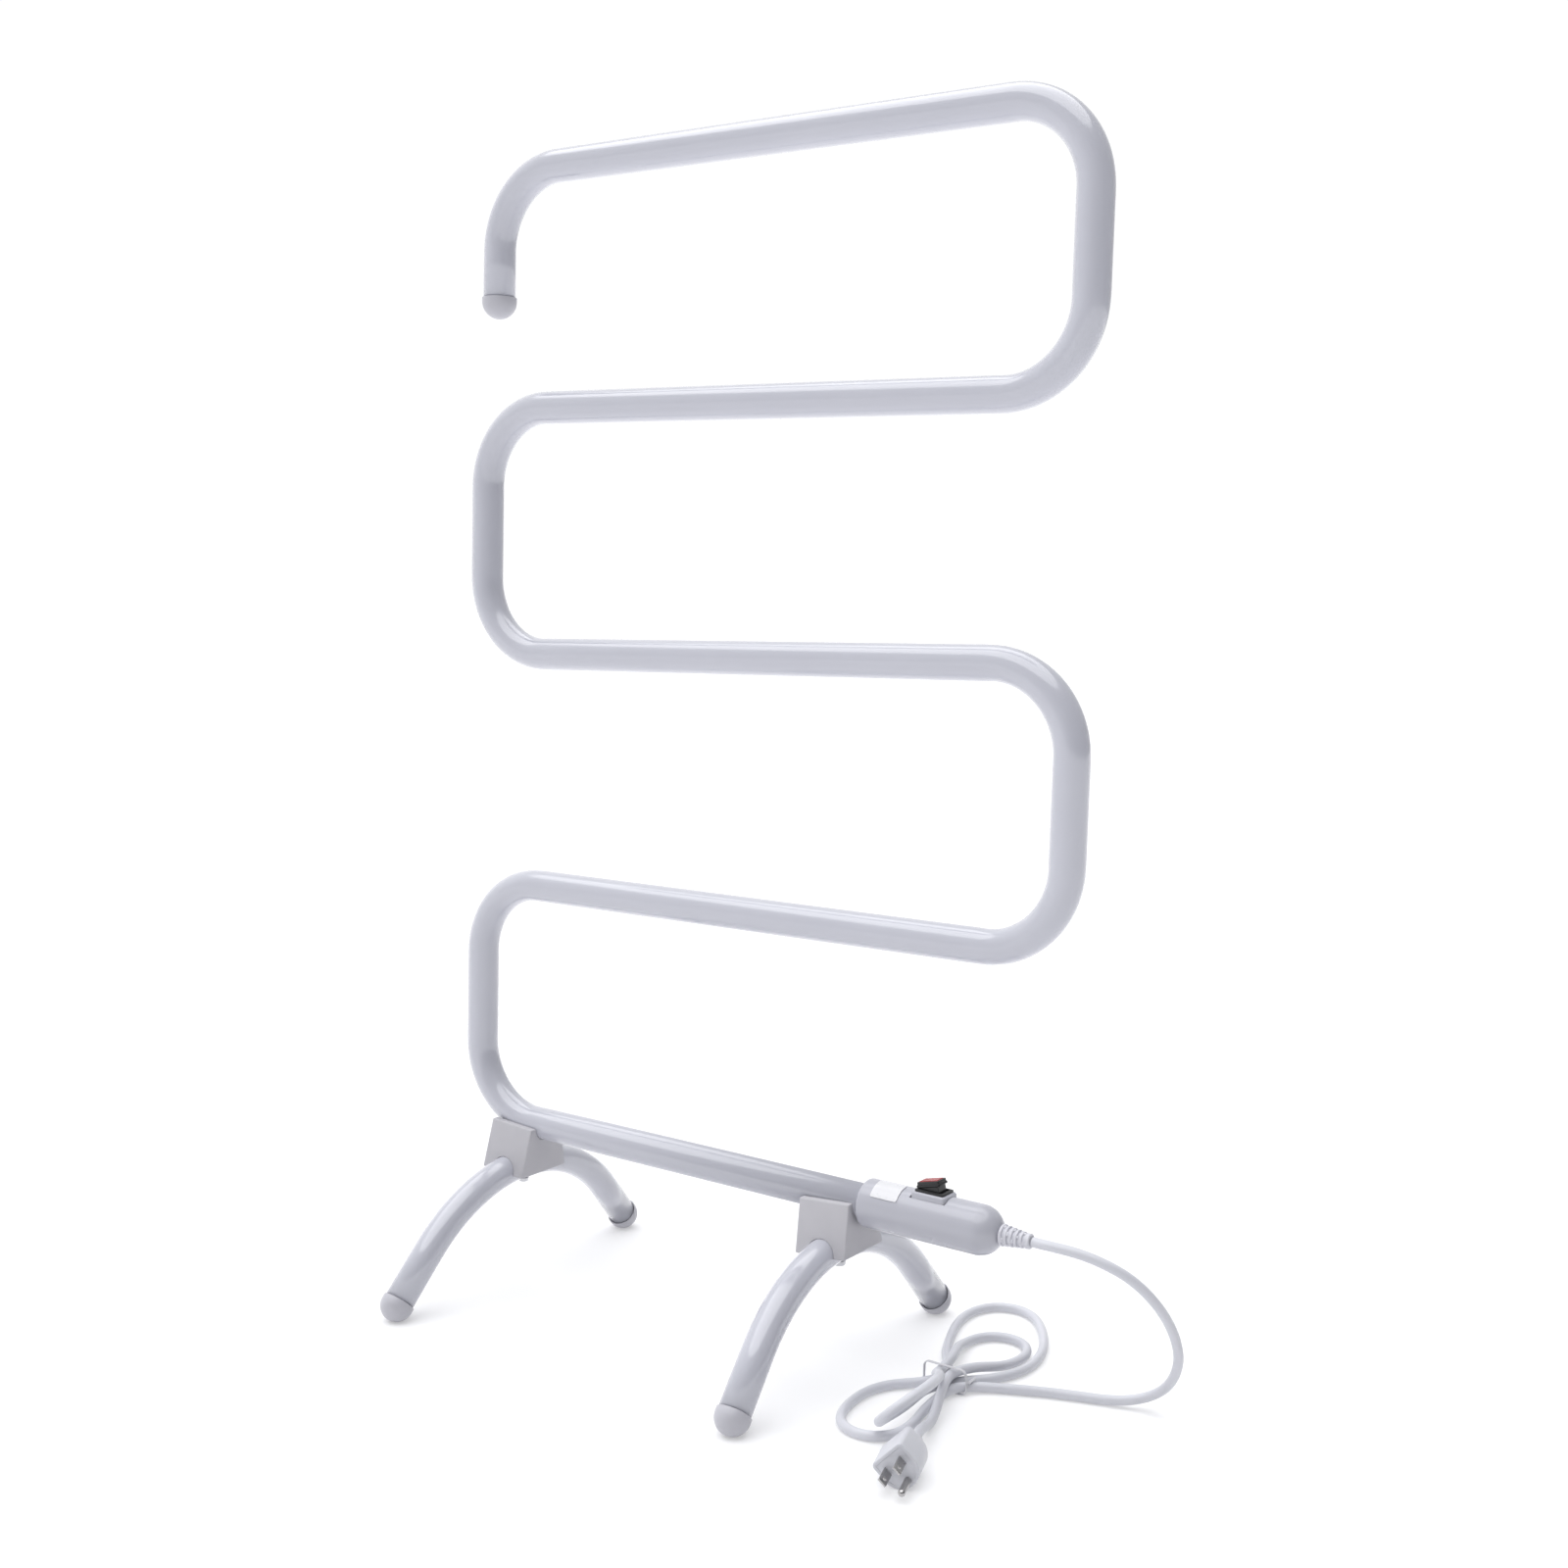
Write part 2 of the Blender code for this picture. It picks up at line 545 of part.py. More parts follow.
def make_saddle(name, frame, bar, finishes):
    """A moulded block that cradles the bar on top and straddles the foot below."""
    top = BAR_ABOVE_FLOOR
    base = FOOT_APEX - SADDLE_SKIRT
    bm = bmesh.new()
    outline = ((-SADDLE_BASE / 2, base), (SADDLE_BASE / 2, base), (SADDLE_TOP / 2, top),
               (-SADDLE_TOP / 2, top))
    verts = [bm.verts.new((-SADDLE_LENGTH / 2, y, z)) for y, z in outline]
    face = bm.faces.new(verts)
    side = bmesh.ops.extrude_face_region(bm, geom=[face])["geom"]
    moved = [item for item in side if isinstance(item, bmesh.types.BMVert)]
    bmesh.ops.translate(bm, vec=(SADDLE_LENGTH, 0, 0), verts=moved)
    bmesh.ops.bevel(bm, geom=bm.edges[:], offset=SADDLE_EDGE, segments=2, profile=0.5,
                    affect="EDGES")
    saddle = from_bmesh(f"saddle_{name}", bm, finishes["saddle_plastic"], frame)

    channel = bent_tube_bmesh(foot_path(0.0), Vector((1, 0, 0)),
                              (FOOT_R + GAP) / math.cos(math.pi / 32), 32)
    cut(saddle, from_bmesh(f"foot_channel_{name}", channel, None, frame))
    cut(saddle, bar)
    return saddle


def bar_channel(name, x):
    """The room that a saddle keeps for the lowest bar: a round trough, open above."""
    radius = (TUBE_R + GAP) / math.cos(math.pi / 32)
    outline = arc((0, LOWEST_BAR), radius, math.pi, math.tau, 16)
    outline += [(radius, LOWEST_BAR + TUBE_D), (-radius, LOWEST_BAR + TUBE_D)]
    bm = bmesh.new()
    start = x - SADDLE_LENGTH
    face = bm.faces.new([bm.verts.new((start, y, z)) for y, z in outline])
    grown = bmesh.ops.extrude_face_region(bm, geom=[face])["geom"]
    moved = [item for item in grown if isinstance(item, bmesh.types.BMVert)]
    bmesh.ops.translate(bm, vec=(2 * SADDLE_LENGTH, 0, 0), verts=moved)
    return from_bmesh(f"bar_channel_{name}", bm)


# Switch housing --------------------------------------------------------------

def housing_outline():
    """Closed outline of the shell's wall, (radius, distance along the axis)."""
    hole = TUBE_R + GAP
    outer = HOUSING_R
    inner = HOUSING_INNER_R
    neck = RELIEF_NECK_D / 2 + GAP
    outline = [(hole, HOUSING_START)]
    outline += arc((outer - HOUSING_EDGE, HOUSING_START + HOUSING_EDGE), HOUSING_EDGE,
                   -math.pi / 2, 0, 3)
    outline += arc((0, DOME_CENTRE), outer, 0, math.acos(neck / outer), 6)
    outline += arc((0, DOME_CENTRE), inner, math.acos(neck / inner), 0, 6)
    outline += [(inner, HOUSING_START + HOUSING_WALL), (hole, HOUSING_START + HOUSING_WALL)]
    return outline


def make_shell(name, keep_low, keep_high, finishes):
    """One half of the housing: the turned shell between two heights."""
    axis = along((1, 0, 0), (0, 0, LOWEST_BAR))
    bm = turned_bmesh(housing_outline(), 32)
    bmesh.ops.transform(bm, matrix=axis, verts=bm.verts)
    shell = from_bmesh(name, bm, finishes["housing_plastic"])
    room = box(f"{name}_room", (HOUSING_START - 0.01, -2 * HOUSING_R, keep_low),
               (HOUSING_END + 0.01, 2 * HOUSING_R, keep_high))
    cut(shell, room, "INTERSECT")
    return shell


def make_housing(finishes):
    upper = make_shell("housing_upper", SEAM + GAP / 2, CROWN + HOUSING_R, finishes)
    lower = make_shell("housing_lower", SEAM - HOUSING_R, SEAM - GAP / 2, finishes)
    ceiling = LOWEST_BAR + HOUSING_INNER_R + HOUSING_WALL / 2
    floor = LOWEST_BAR - HOUSING_INNER_R - HOUSING_WALL / 2
    outside = LOWEST_BAR - HOUSING_R
    posts = {"tube_end": TUBE_END + POST_FROM_TUBE, "cord_end": DOME_CENTRE - POST_FROM_DOME}
    hole = SMALL_SCREW_D / 2 + GAP
    head_seat = outside + SMALL_HEAD
    tip = SEAM + 0.009
    for name, x in posts.items():
        frame = Matrix.Translation((x, 0, 0)) @ Matrix.Rotation(math.radians(9), 4, "Z")
        outline = ((hole, SEAM + GAP), (POST_D / 2, SEAM + GAP), (POST_D / 2, ceiling),
                   (0, ceiling), (0, tip + GAP), (hole, tip + GAP))
        cut(upper, turned(f"post_{name}", outline, None, 12, frame), "UNION")
        pad = cylinder(f"pad_{name}", SMALL_HEAD_D / 2 + 0.0015, floor, SEAM - GAP, frame)
        cut(lower, pad, "UNION")
        sink = ((0, outside - 0.01), (SMALL_HEAD_D / 2 + GAP, outside - 0.01),
                (SMALL_HEAD_D / 2 + GAP, head_seat + GAP), (hole, head_seat + GAP),
                (hole, SEAM + 0.01), (0, SEAM + 0.01))
        cut(lower, turned(f"screw_way_{name}", sink, None, 12, frame))
        screw = ((0, tip), (SMALL_SCREW_D / 2, tip), (SMALL_SCREW_D / 2, head_seat),
                 (SMALL_HEAD_D / 2, head_seat), (SMALL_HEAD_D / 2, outside), (0, outside))
        turned(f"housing_screw_{name}", screw, finishes["plated_steel"], 12, frame)
    return upper


# Rocker switch ---------------------------------------------------------------

def centred_box(name, size, low, high, material=None, edge=0.0, parent=None):
    """A block of (length, width) centred on the switch, between two heights."""
    return box(name, (SWITCH_X - size[0] / 2, -size[1] / 2, low),
               (SWITCH_X + size[0] / 2, size[1] / 2, high), material, parent, edge)


def make_switch(upper, finishes):
    bezel = centred_box("switch_bezel", BEZEL, BEZEL_TOP - BEZEL[2], BEZEL_TOP,
                        finishes["housing_plastic"], BEZEL_CHAMFER)
    opening = (BODY[0] + 2 * GAP, BODY[1] + 2 * GAP)
    cut(bezel, centred_box("bezel_opening", opening, BEZEL_TOP - 0.02, BEZEL_TOP + 0.02))
    seat = (BEZEL[0] + 2 * GAP, BEZEL[1] + 2 * GAP)
    cut(upper, centred_box("bezel_seat", seat, BEZEL_TOP - BEZEL[2] - GAP, BEZEL_TOP + 0.01))

    body = centred_box("switch_body", BODY, BEZEL_TOP - BODY[2], BEZEL_TOP,
                       finishes["black_plastic"])
    well = (BODY[0] - 2 * BODY_WALL, BODY[1] - 2 * BODY_WALL)
    cut(body, centred_box("rocker_well", well, BEZEL_TOP - WELL_DEPTH, BEZEL_TOP + 0.01))

    pivot = along((0, 1, 0), (SWITCH_X, 0, PIVOT))
    pin_half = BODY[1] / 2 - GAP
    cylinder("rocker_pin", PIN_D / 2, -pin_half, pin_half, pivot,
             finishes["plated_steel"], 12)
    bore = cylinder("pin_bore", PIN_D / 2 + GAP, -BODY[1], BODY[1], pivot, steps=16)
    cut(body, bore)

    boot = centred_box("rocker_boot", BOOT, BEZEL_TOP + GAP, BEZEL_TOP + GAP + BOOT[2],
                       finishes["black_rubber"])
    mouth = (ROCKER_NECK[0] + BOOT_PLAY[0], ROCKER_NECK[1] + BOOT_PLAY[1])
    cut(boot, centred_box("boot_mouth", mouth, BEZEL_TOP - 0.01, BEZEL_TOP + 0.01))

    for i, name in enumerate(("lamp", "line", "load")):
        x = SWITCH_X + (i - 1) * TERMINAL_PITCH
        top = BEZEL_TOP - BODY[2] - GAP
        box(f"switch_terminal_{name}", (x - TERMINAL[0] / 2, -TERMINAL[1] / 2, top - TERMINAL[2]),
            (x + TERMINAL[0] / 2, TERMINAL[1] / 2, top), finishes["brass"])
    make_rocker(finishes)


def make_rocker(finishes):
    """The rocker and its lens, on an empty at the pivot, at rest on the tube side."""
    pivot = bpy.data.objects.new("rocker_pivot", None)
    bpy.context.scene.collection.objects.link(pivot)
    pivot.matrix_world = (Matrix.Translation((SWITCH_X, 0, PIVOT))
                          @ Matrix.Rotation(-ROCKER_TILT, 4, "Y"))

    bm = bmesh.new()
    levels = ((ROCKER_NECK, -ROCKER_FOOT), (ROCKER_NECK, ROCKER_SHOULDER - 0.0006),
              (ROCKER_TOP, ROCKER_SHOULDER), (ROCKER_TOP, ROCKER_HEIGHT))
    corners = ((1, 1), (-1, 1), (-1, -1), (1, -1))
    rings = [[bm.verts.new((sx * length / 2, sy * width / 2, z)) for sx, sy in corners]
             for (length, width), z in levels]
    skin(bm, rings)
    bm.faces.new(rings[0])
    bm.faces.new(rings[-1])
    rocker = from_bmesh("rocker", bm, finishes["black_plastic"], pivot, smooth=False)

    lens = (ROCKER_TOP[0] / 2 - LENS_RIM, ROCKER_TOP[1] / 2 - LENS_RIM)
    floor = ROCKER_HEIGHT - LENS_SINK
    cut(rocker, box("lens_seat", (-lens[0] - GAP, -lens[1] - GAP, floor - GAP),
                    (lens[0] + GAP, lens[1] + GAP, ROCKER_HEIGHT + 0.01), None, pivot))
    bore = cylinder("rocker_bore", PIN_D / 2 + GAP, -BODY[1], BODY[1],
                    along((0, 1, 0), (0, 0, 0)), parent=pivot)
    cut(rocker, bore)
    box("rocker_lens", (-lens[0], -lens[1], floor), (lens[0], lens[1],
        ROCKER_HEIGHT + LENS_STAND), finishes["red_lens"], pivot, 0.0003)


# Wiring inside the housing ---------------------------------------------------

WIRE_R = 0.0010
CRIMP_R = 0.0021
LIVE_CRIMP = 0.0055
NEUTRAL_CRIMP = 0.0080
CUTOUT = (0.0150, 0.0048, 0.0056)
LUG = (0.0140, 0.0008, 0.0060)
LUG_HOLE_IN = 0.0055            # of the earth screw from the tube's end
EARTH_SCREW_D = 0.0026


def make_wiring(tube, finishes):
    """Splices, cutout and leads; routes run in (along, across, up) from the bar's axis."""
    relief = DOME_CENTRE + RELIEF_FACE - GAP
    cable = CABLE_END + GAP
    blade_z = BEZEL_TOP - BODY[2] - GAP - TERMINAL[2] / 2 - LOWEST_BAR
    load_x = SWITCH_X + TERMINAL_PITCH + TERMINAL[0] / 2 + GAP
    blade_y = -TERMINAL[1] / 2 - GAP

    live_y = -0.0094
    live_z = blade_z + 0.0033
    live_x = TUBE_END + 0.0065
    cutout_x = SWITCH_X - 0.0010
    cutout_start = cutout_x - CUTOUT[0] / 2 - GAP
    cutout_end = cutout_x + CUTOUT[0] / 2 + GAP
    cutout_y = -BODY[1] / 2 - 0.0008 - CUTOUT[1] / 2
    box("thermal_cutout",
        (cutout_x - CUTOUT[0] / 2, cutout_y - CUTOUT[1] / 2, LOWEST_BAR + live_z - CUTOUT[2] / 2),
        (cutout_x + CUTOUT[0] / 2, cutout_y + CUTOUT[1] / 2, LOWEST_BAR + live_z + CUTOUT[2] / 2),
        finishes["ceramic"], edge=0.0006)

    neutral_y = 0.0100
    neutral_z = -0.0070
    neutral_x = SWITCH_X + 0.0150
    for name, length, x, y, z in (("live", LIVE_CRIMP, live_x, live_y, live_z),
                                  ("neutral", NEUTRAL_CRIMP, neutral_x, neutral_y, neutral_z)):
        cylinder(f"crimp_{name}", CRIMP_R, -length / 2, length / 2,
                 along((1, 0, 0), (x, y, LOWEST_BAR + z)), finishes["plated_steel"], 12)

    def wire(name, *route):
        points = smooth_route(route, 0.0035) + np.array((0, 0, LOWEST_BAR))
        round_cord(name, points, WIRE_R, finishes["wire_sheath"], 1)

    live_start = live_x - LIVE_CRIMP / 2 - GAP
    live_end = live_x + LIVE_CRIMP / 2 + GAP
    wire("heater_lead_live", (cable, -0.0016, 0), (cable + 0.0025, -0.0017, -0.0001),
         (cable + 0.0058, -0.0046, -0.0012), (cable + 0.0085, -0.0078, -0.0030),
         (live_start - 0.0018, live_y, live_z), (live_start, live_y, live_z))
    wire("cutout_lead", (live_end, live_y, live_z), (cutout_start, live_y, live_z))
    wire("load_lead", (cutout_end, cutout_y, live_z), (cutout_end + 0.0025, cutout_y, live_z),
         (cutout_end + 0.0052, -0.0086, -0.0055), (cutout_end + 0.0062, -0.0050, -0.0070),
         (cutout_end + 0.0050, -0.0014, blade_z), (load_x + 0.0030, 0, blade_z),
         (load_x, 0, blade_z))
    wire("live_lead", (relief, -0.0026, -0.0010), (relief - 0.0030, -0.0028, -0.0012),
         (relief - 0.0105, -0.0065, -0.0050), (relief - 0.0205, -0.0075, -0.0090),
         (SWITCH_X + 0.0170, -0.0076, -0.0110), (SWITCH_X + 0.0080, -0.0082, -0.0112),
         (SWITCH_X + 0.0025, -0.0084, -0.0096), (SWITCH_X + 0.0001, -0.0062, blade_z - 0.0004),
         (SWITCH_X, blade_y - 0.0020, blade_z), (SWITCH_X, blade_y, blade_z))
    wire("neutral_lead", (relief, 0.0026, -0.0010), (relief - 0.0030, 0.0028, -0.0012),
         (relief - 0.0110, 0.0075, -0.0040), (relief - 0.0215, 0.0098, -0.0066),
         (neutral_x + 0.0070, neutral_y, neutral_z),
         (neutral_x + NEUTRAL_CRIMP / 2 + GAP, neutral_y, neutral_z))
    wire("heater_lead_neutral", (neutral_x - NEUTRAL_CRIMP / 2 - GAP, neutral_y, neutral_z),
         (neutral_x - 0.0080, neutral_y, neutral_z), (SWITCH_X, 0.0102, neutral_z),
         (TUBE_END + 0.0095, 0.0094, -0.0056), (TUBE_END + 0.0045, 0.0072, -0.0035),
         (TUBE_END - 0.0010, 0.0045, -0.0012), (cable + 0.0025, 0.0018, -0.0001),
         (cable, 0.0016, 0))

    lug_x = TUBE_END - LUG_HOLE_IN
    lug_y = TUBE_R + GAP
    lug_start = lug_x - 0.0040
    lug_end = lug_start + LUG[0]
    lug = box("earth_lug", (lug_start, lug_y, LOWEST_BAR - LUG[2] / 2),
              (lug_end, lug_y + LUG[1], LOWEST_BAR + LUG[2] / 2), finishes["brass"])
    outward = along((0, 1, 0), (lug_x, 0, LOWEST_BAR))
    seat = lug_y + LUG[1] + GAP
    shank = EARTH_SCREW_D / 2
    screw = ((0, lug_y - 0.0040), (shank, lug_y - 0.0040), (shank, seat), (0.0023, seat),
             (0.0023, seat + 0.0010), (0, seat + 0.0010))
    turned("earth_screw", screw, finishes["plated_steel"], 12, outward)
    hole = cylinder("earth_hole", shank + HOLE_CLEARANCE, TUBE_R / 2, seat, outward)
    cut(lug, hole)
    cut(tube, hole)
    wire("earth_lead", (relief, 0, 0.0030), (relief - 0.0030, 0.0003, 0.0031),
         (relief - 0.0105, 0.0050, 0.0040), (relief - 0.0205, 0.0094, 0.0036),
         (SWITCH_X + 0.0170, 0.0116, 0.0020), (SWITCH_X + 0.0030, 0.0122, 0.0005),
         (lug_end + 0.0090, 0.0129, 0.0001), (lug_end + 0.0035, lug_y + LUG[1] / 2, 0),
         (lug_end + GAP, lug_y + LUG[1] / 2, 0))


# Label, strain relief, cord and plug -----------------------------------------

LABEL_START = 0.0110            # from the housing's tube end
LABEL_LENGTH = 0.0215
LABEL_FROM = math.radians(145.0)    # about the axis, from the back
LABEL_TO = math.radians(88.0)
LABEL_THICKNESS = 0.0003


def make_label(finishes):
    """A blank sticker wrapped on the housing's front and top."""
    low = HOUSING_R + GAP
    high = low + LABEL_THICKNESS
    outline = arc((0, LOWEST_BAR), low, LABEL_FROM, LABEL_TO, 10)
    outline += arc((0, LOWEST_BAR), high, LABEL_TO, LABEL_FROM, 10)
    bm = bmesh.new()
    start = HOUSING_START + LABEL_START
    face = bm.faces.new([bm.verts.new((start, y, z)) for y, z in outline])
    grown = bmesh.ops.extrude_face_region(bm, geom=[face])["geom"]
    moved = [item for item in grown if isinstance(item, bmesh.types.BMVert)]
    bmesh.ops.translate(bm, vec=(LABEL_LENGTH, 0, 0), verts=moved)
    from_bmesh("rating_label", bm, finishes["label_film"])


def make_strain_relief(finishes):
    """The tapered, grooved sleeve that the cord leaves through, with its inner flange."""
    neck = RELIEF_NECK_D / 2
    flange = RELIEF_FLANGE_D / 2
    shoulder = HOUSING_R - RELIEF_SEAT
    outline = [(0, RELIEF_FACE), (flange, RELIEF_FACE), (flange, RELIEF_FACE + RELIEF_FLANGE),
               (neck, RELIEF_FACE + RELIEF_FLANGE), (neck, shoulder)]
    grooved = RELIEF_LENGTH - RELIEF_COLLAR
    pitch = grooved / RELIEF_GROOVES
    for i in range(RELIEF_GROOVES):
        low = shoulder + GAP + pitch * i
        share = i / RELIEF_GROOVES
        radius = (RELIEF_D + (RELIEF_TIP_D - RELIEF_D) * share) / 2
        groove = radius - RELIEF_GROOVE
        outline += [(radius, low), (radius, low + pitch * 0.55), (groove, low + pitch * 0.62),
                    (groove, low + pitch * 0.95)]
    tip = shoulder + GAP + RELIEF_LENGTH
    outline += [(RELIEF_TIP_D / 2, tip - RELIEF_COLLAR), (RELIEF_TIP_D / 2, tip), (0, tip)]
    turned("strain_relief", outline, finishes["cord_pvc"], 14,
           along((1, 0, 0), (DOME_CENTRE, 0, LOWEST_BAR)))
    return DOME_CENTRE + tip


def make_cord(start_x, finishes):
    start = (start_x + GAP, 0.0, LOWEST_BAR)
    drop = LOWEST_BAR - CORD_LIES
    descent = [(x, y, CORD_LIES + share * drop) for x, y, share in CORD_DESCENT]
    loops = [*descent, *CORD_NEAR_LOOP, *CORD_FAR_LOOP, *CORD_RAISED_LOOP,
             *CORD_SHORT_LOOP, *CORD_LEAD]
    entry = plug_entry()
    route = [start, *((HOUSING_END + x, y, z) for x, y, z in loops),
             tuple(entry - PLUG_LEAD_IN * plug_direction())]
    points = [*smooth_route(route, CORD_STEP), entry]
    round_cord("power_cord", points, CORD_D / 2, finishes["cord_pvc"], 3)

    half_x, half_z = TIE_HALF
    corners = []
    for sx, sz, start in ((1, 1, 0), (-1, 1, 1), (-1, -1, 2), (1, -1, 3)):
        centre = (sx * (half_x - TIE_CORNER), sz * (half_z - TIE_CORNER))
        corners += arc(centre, TIE_CORNER + TIE_D / 2, start * math.pi / 2,
                       (start + 1) * math.pi / 2, 4)
    curve = bpy.data.curves.new("cord_tie", "CURVE")
    curve.dimensions = "3D"
    curve.bevel_depth = TIE_D / 2
    curve.bevel_resolution = 1
    spline = curve.splines.new("POLY")
    spline.points.add(len(corners) - 1)
    for knot, (x, z) in zip(spline.points, corners):
        knot.co = (HOUSING_END + TIE_CENTRE[0] + x, TIE_CENTRE[1], TIE_CENTRE[2] + z, 1.0)
    spline.use_cyclic_u = True
    add_object("cord_tie", curve, finishes["cord_pvc"])


def plug_entry():
    """Where the cord ends at the plug's neck."""
    return Vector((HOUSING_END, 0, 0)) + Vector(PLUG_ENTRY)


def plug_direction():
    """The way the plug's blades point."""
    return Vector((math.cos(PLUG_TURN), math.sin(PLUG_TURN), 0))


def plug_outline(width):
    """The plug's section around the cord's axis: flat behind the blades, round below."""
    half = width / 2
    corner = half - PLUG_CORNER
    outline = arc((corner, corner), PLUG_CORNER, 0, math.pi / 2, 2)
    outline += arc((-corner, corner), PLUG_CORNER, math.pi / 2, math.pi, 2)
    return outline + arc((0, 0), half, math.pi, math.tau, 9)


def make_plug(finishes):
    """The moulded plug, lying on its round side at the cord's end."""
    ahead = plug_direction()
    upward = Vector((0, 0, 1))
    turn = Matrix((ahead.cross(upward), upward, -ahead)).transposed().to_4x4()
    frame = (Matrix.Translation(plug_entry() + GAP * ahead) @ turn
             @ Matrix.Rotation(PLUG_ROLL, 4, "Z"))

    end = PLUG_NECK + PLUG_BODY
    neck = PLUG_NECK_D / 2
    around = [math.tau * i / 16 for i in range(16)]
    sections = [([(radius * math.cos(a), radius * math.sin(a)) for a in around], distance)
                for radius, distance in ((neck * 0.75, 0.0), (neck, 0.002),
                                         (neck, PLUG_NECK - 0.005))]
    sections += [(plug_outline(PLUG_WIDTH * 0.88), PLUG_NECK),
                 (plug_outline(PLUG_WIDTH), PLUG_NECK + 0.003),
                 (plug_outline(PLUG_WIDTH), end)]
    bm = bmesh.new()
    rings = [[bm.verts.new((x, y, -distance)) for x, y in outline]
             for outline, distance in sections]
    skin(bm, rings)
    bm.faces.new(rings[0])
    bm.faces.new(rings[-1])
    bmesh.ops.transform(bm, matrix=frame, verts=bm.verts)
    from_bmesh("plug_body", bm, finishes["cord_pvc"])

    face = -end - GAP
    for name, way in (("line", -1), ("neutral", 1)):
        bm = bmesh.new()
        bmesh.ops.create_cube(bm, size=1.0)
        bmesh.ops.scale(bm, vec=BLADE, verts=bm.verts)
        place = (way * BLADE_PITCH / 2, BLADE_RISE, face - BLADE[2] / 2)
        bmesh.ops.translate(bm, vec=place, verts=bm.verts)
        bmesh.ops.transform(bm, matrix=frame, verts=bm.verts)
        from_bmesh(f"plug_blade_{name}", bm, finishes["brass"], smooth=False)
    radius = EARTH_PIN_D / 2
    outline = [(0, 0), (radius, 0)] + arc((0, EARTH_PIN - radius), radius, 0, math.pi / 2, 3)
    place = (Matrix.Translation((0, BLADE_RISE - EARTH_DROP, face))
             @ Matrix.Rotation(math.pi, 4, "X"))
    turned("plug_earth_pin", outline, finishes["brass"], 12, frame @ place)


def main():
    for obj in list(bpy.data.objects):
        bpy.data.objects.remove(obj)
    finishes = make_finishes()
    tube = make_rack(finishes)
    for name, x, splay in (("left", FOOT_LEFT, FOOT_SPLAY), ("right", FOOT_RIGHT, -FOOT_SPLAY)):
        bar = bar_channel(name, x + BAR_ABOVE_FLOOR * math.sin(splay))
        make_foot(name, x, splay, bar, finishes)
    upper = make_housing(finishes)
    make_switch(upper, finishes)
    make_wiring(tube, finishes)
    make_label(finishes)
    relief_end = make_strain_relief(finishes)
    make_cord(relief_end, finishes)
    make_plug(finishes)


main()
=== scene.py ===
import math

import bmesh
import bpy
import numpy as np
from mathutils import Matrix, Vector


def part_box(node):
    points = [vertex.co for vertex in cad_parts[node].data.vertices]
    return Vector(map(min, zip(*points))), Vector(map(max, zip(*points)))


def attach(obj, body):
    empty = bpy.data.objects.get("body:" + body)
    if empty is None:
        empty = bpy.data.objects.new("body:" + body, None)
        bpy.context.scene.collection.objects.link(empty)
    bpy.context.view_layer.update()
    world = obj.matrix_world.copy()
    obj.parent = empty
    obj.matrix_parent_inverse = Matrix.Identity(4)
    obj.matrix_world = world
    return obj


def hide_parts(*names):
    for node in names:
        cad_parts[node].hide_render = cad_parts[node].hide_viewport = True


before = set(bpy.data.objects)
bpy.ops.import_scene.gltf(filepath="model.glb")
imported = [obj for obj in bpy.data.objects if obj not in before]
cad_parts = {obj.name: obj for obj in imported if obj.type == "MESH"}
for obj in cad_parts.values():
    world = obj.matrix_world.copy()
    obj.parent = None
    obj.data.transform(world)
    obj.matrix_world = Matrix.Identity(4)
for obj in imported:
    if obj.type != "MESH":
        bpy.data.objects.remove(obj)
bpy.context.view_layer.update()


# Camera and studio -----------------------------------------------------------
# The rack stands on a white floor that runs out of sight, under a broad soft light
# overhead.  Light comes in from all round too, least from the right and from in front.

CAMERA_PLACE = Vector((0.7914, -1.1075, 0.5609))
CAMERA_AZIMUTH = math.radians(34.392)
CAMERA_FALL = math.radians(5.938)
CAMERA_ROLL = math.radians(1.519)
CAMERA_LENS = 42.94
SENSOR_WIDTH = 36.0
FLOOR_SIZE = 60.0
FLOOR_WHITE = (0.64, 0.64, 0.65, 1.0)
FLOOR_ROUGH = 0.9
FLOOR_GLOW = 0.33
SKY_LEVEL = 0.55                # light from the horizon, on the mean
SKY_SLOPE = Vector((-0.55, 0.12, 0.10))     # how it grows along X, Y and Z
SKY_LEAST = 0.05
TOP_LIGHT = 2.15                # the broad light overhead, over the sky round it
TOP_LIGHT_WAY = Vector((-0.10, -0.12, 1.0)).normalized()
TOP_LIGHT_EDGE = (0.76, 0.81)   # cosines of its soft rim
BACKDROP = 1.04
SKY_TINT = (0.985, 0.99, 1.0, 1.0)

scene = bpy.context.scene
scene.view_settings.view_transform = "Standard"


class Value:
    """A shader socket.  Arithmetic on it adds Math nodes."""

    def __init__(self, nodes, socket):
        self.nodes = nodes
        self.socket = socket

    def math(self, operation, first, second):
        return self.nodes.add("ShaderNodeMath", {"operation": operation},
                              {0: first, 1: second})

    def __add__(self, other):
        return self.math("ADD", self, other)

    def __sub__(self, other):
        return self.math("SUBTRACT", self, other)

    def __rsub__(self, other):
        return self.math("SUBTRACT", other, self)

    def __mul__(self, other):
        return self.math("MULTIPLY", self, other)

    __radd__ = __add__
    __rmul__ = __mul__


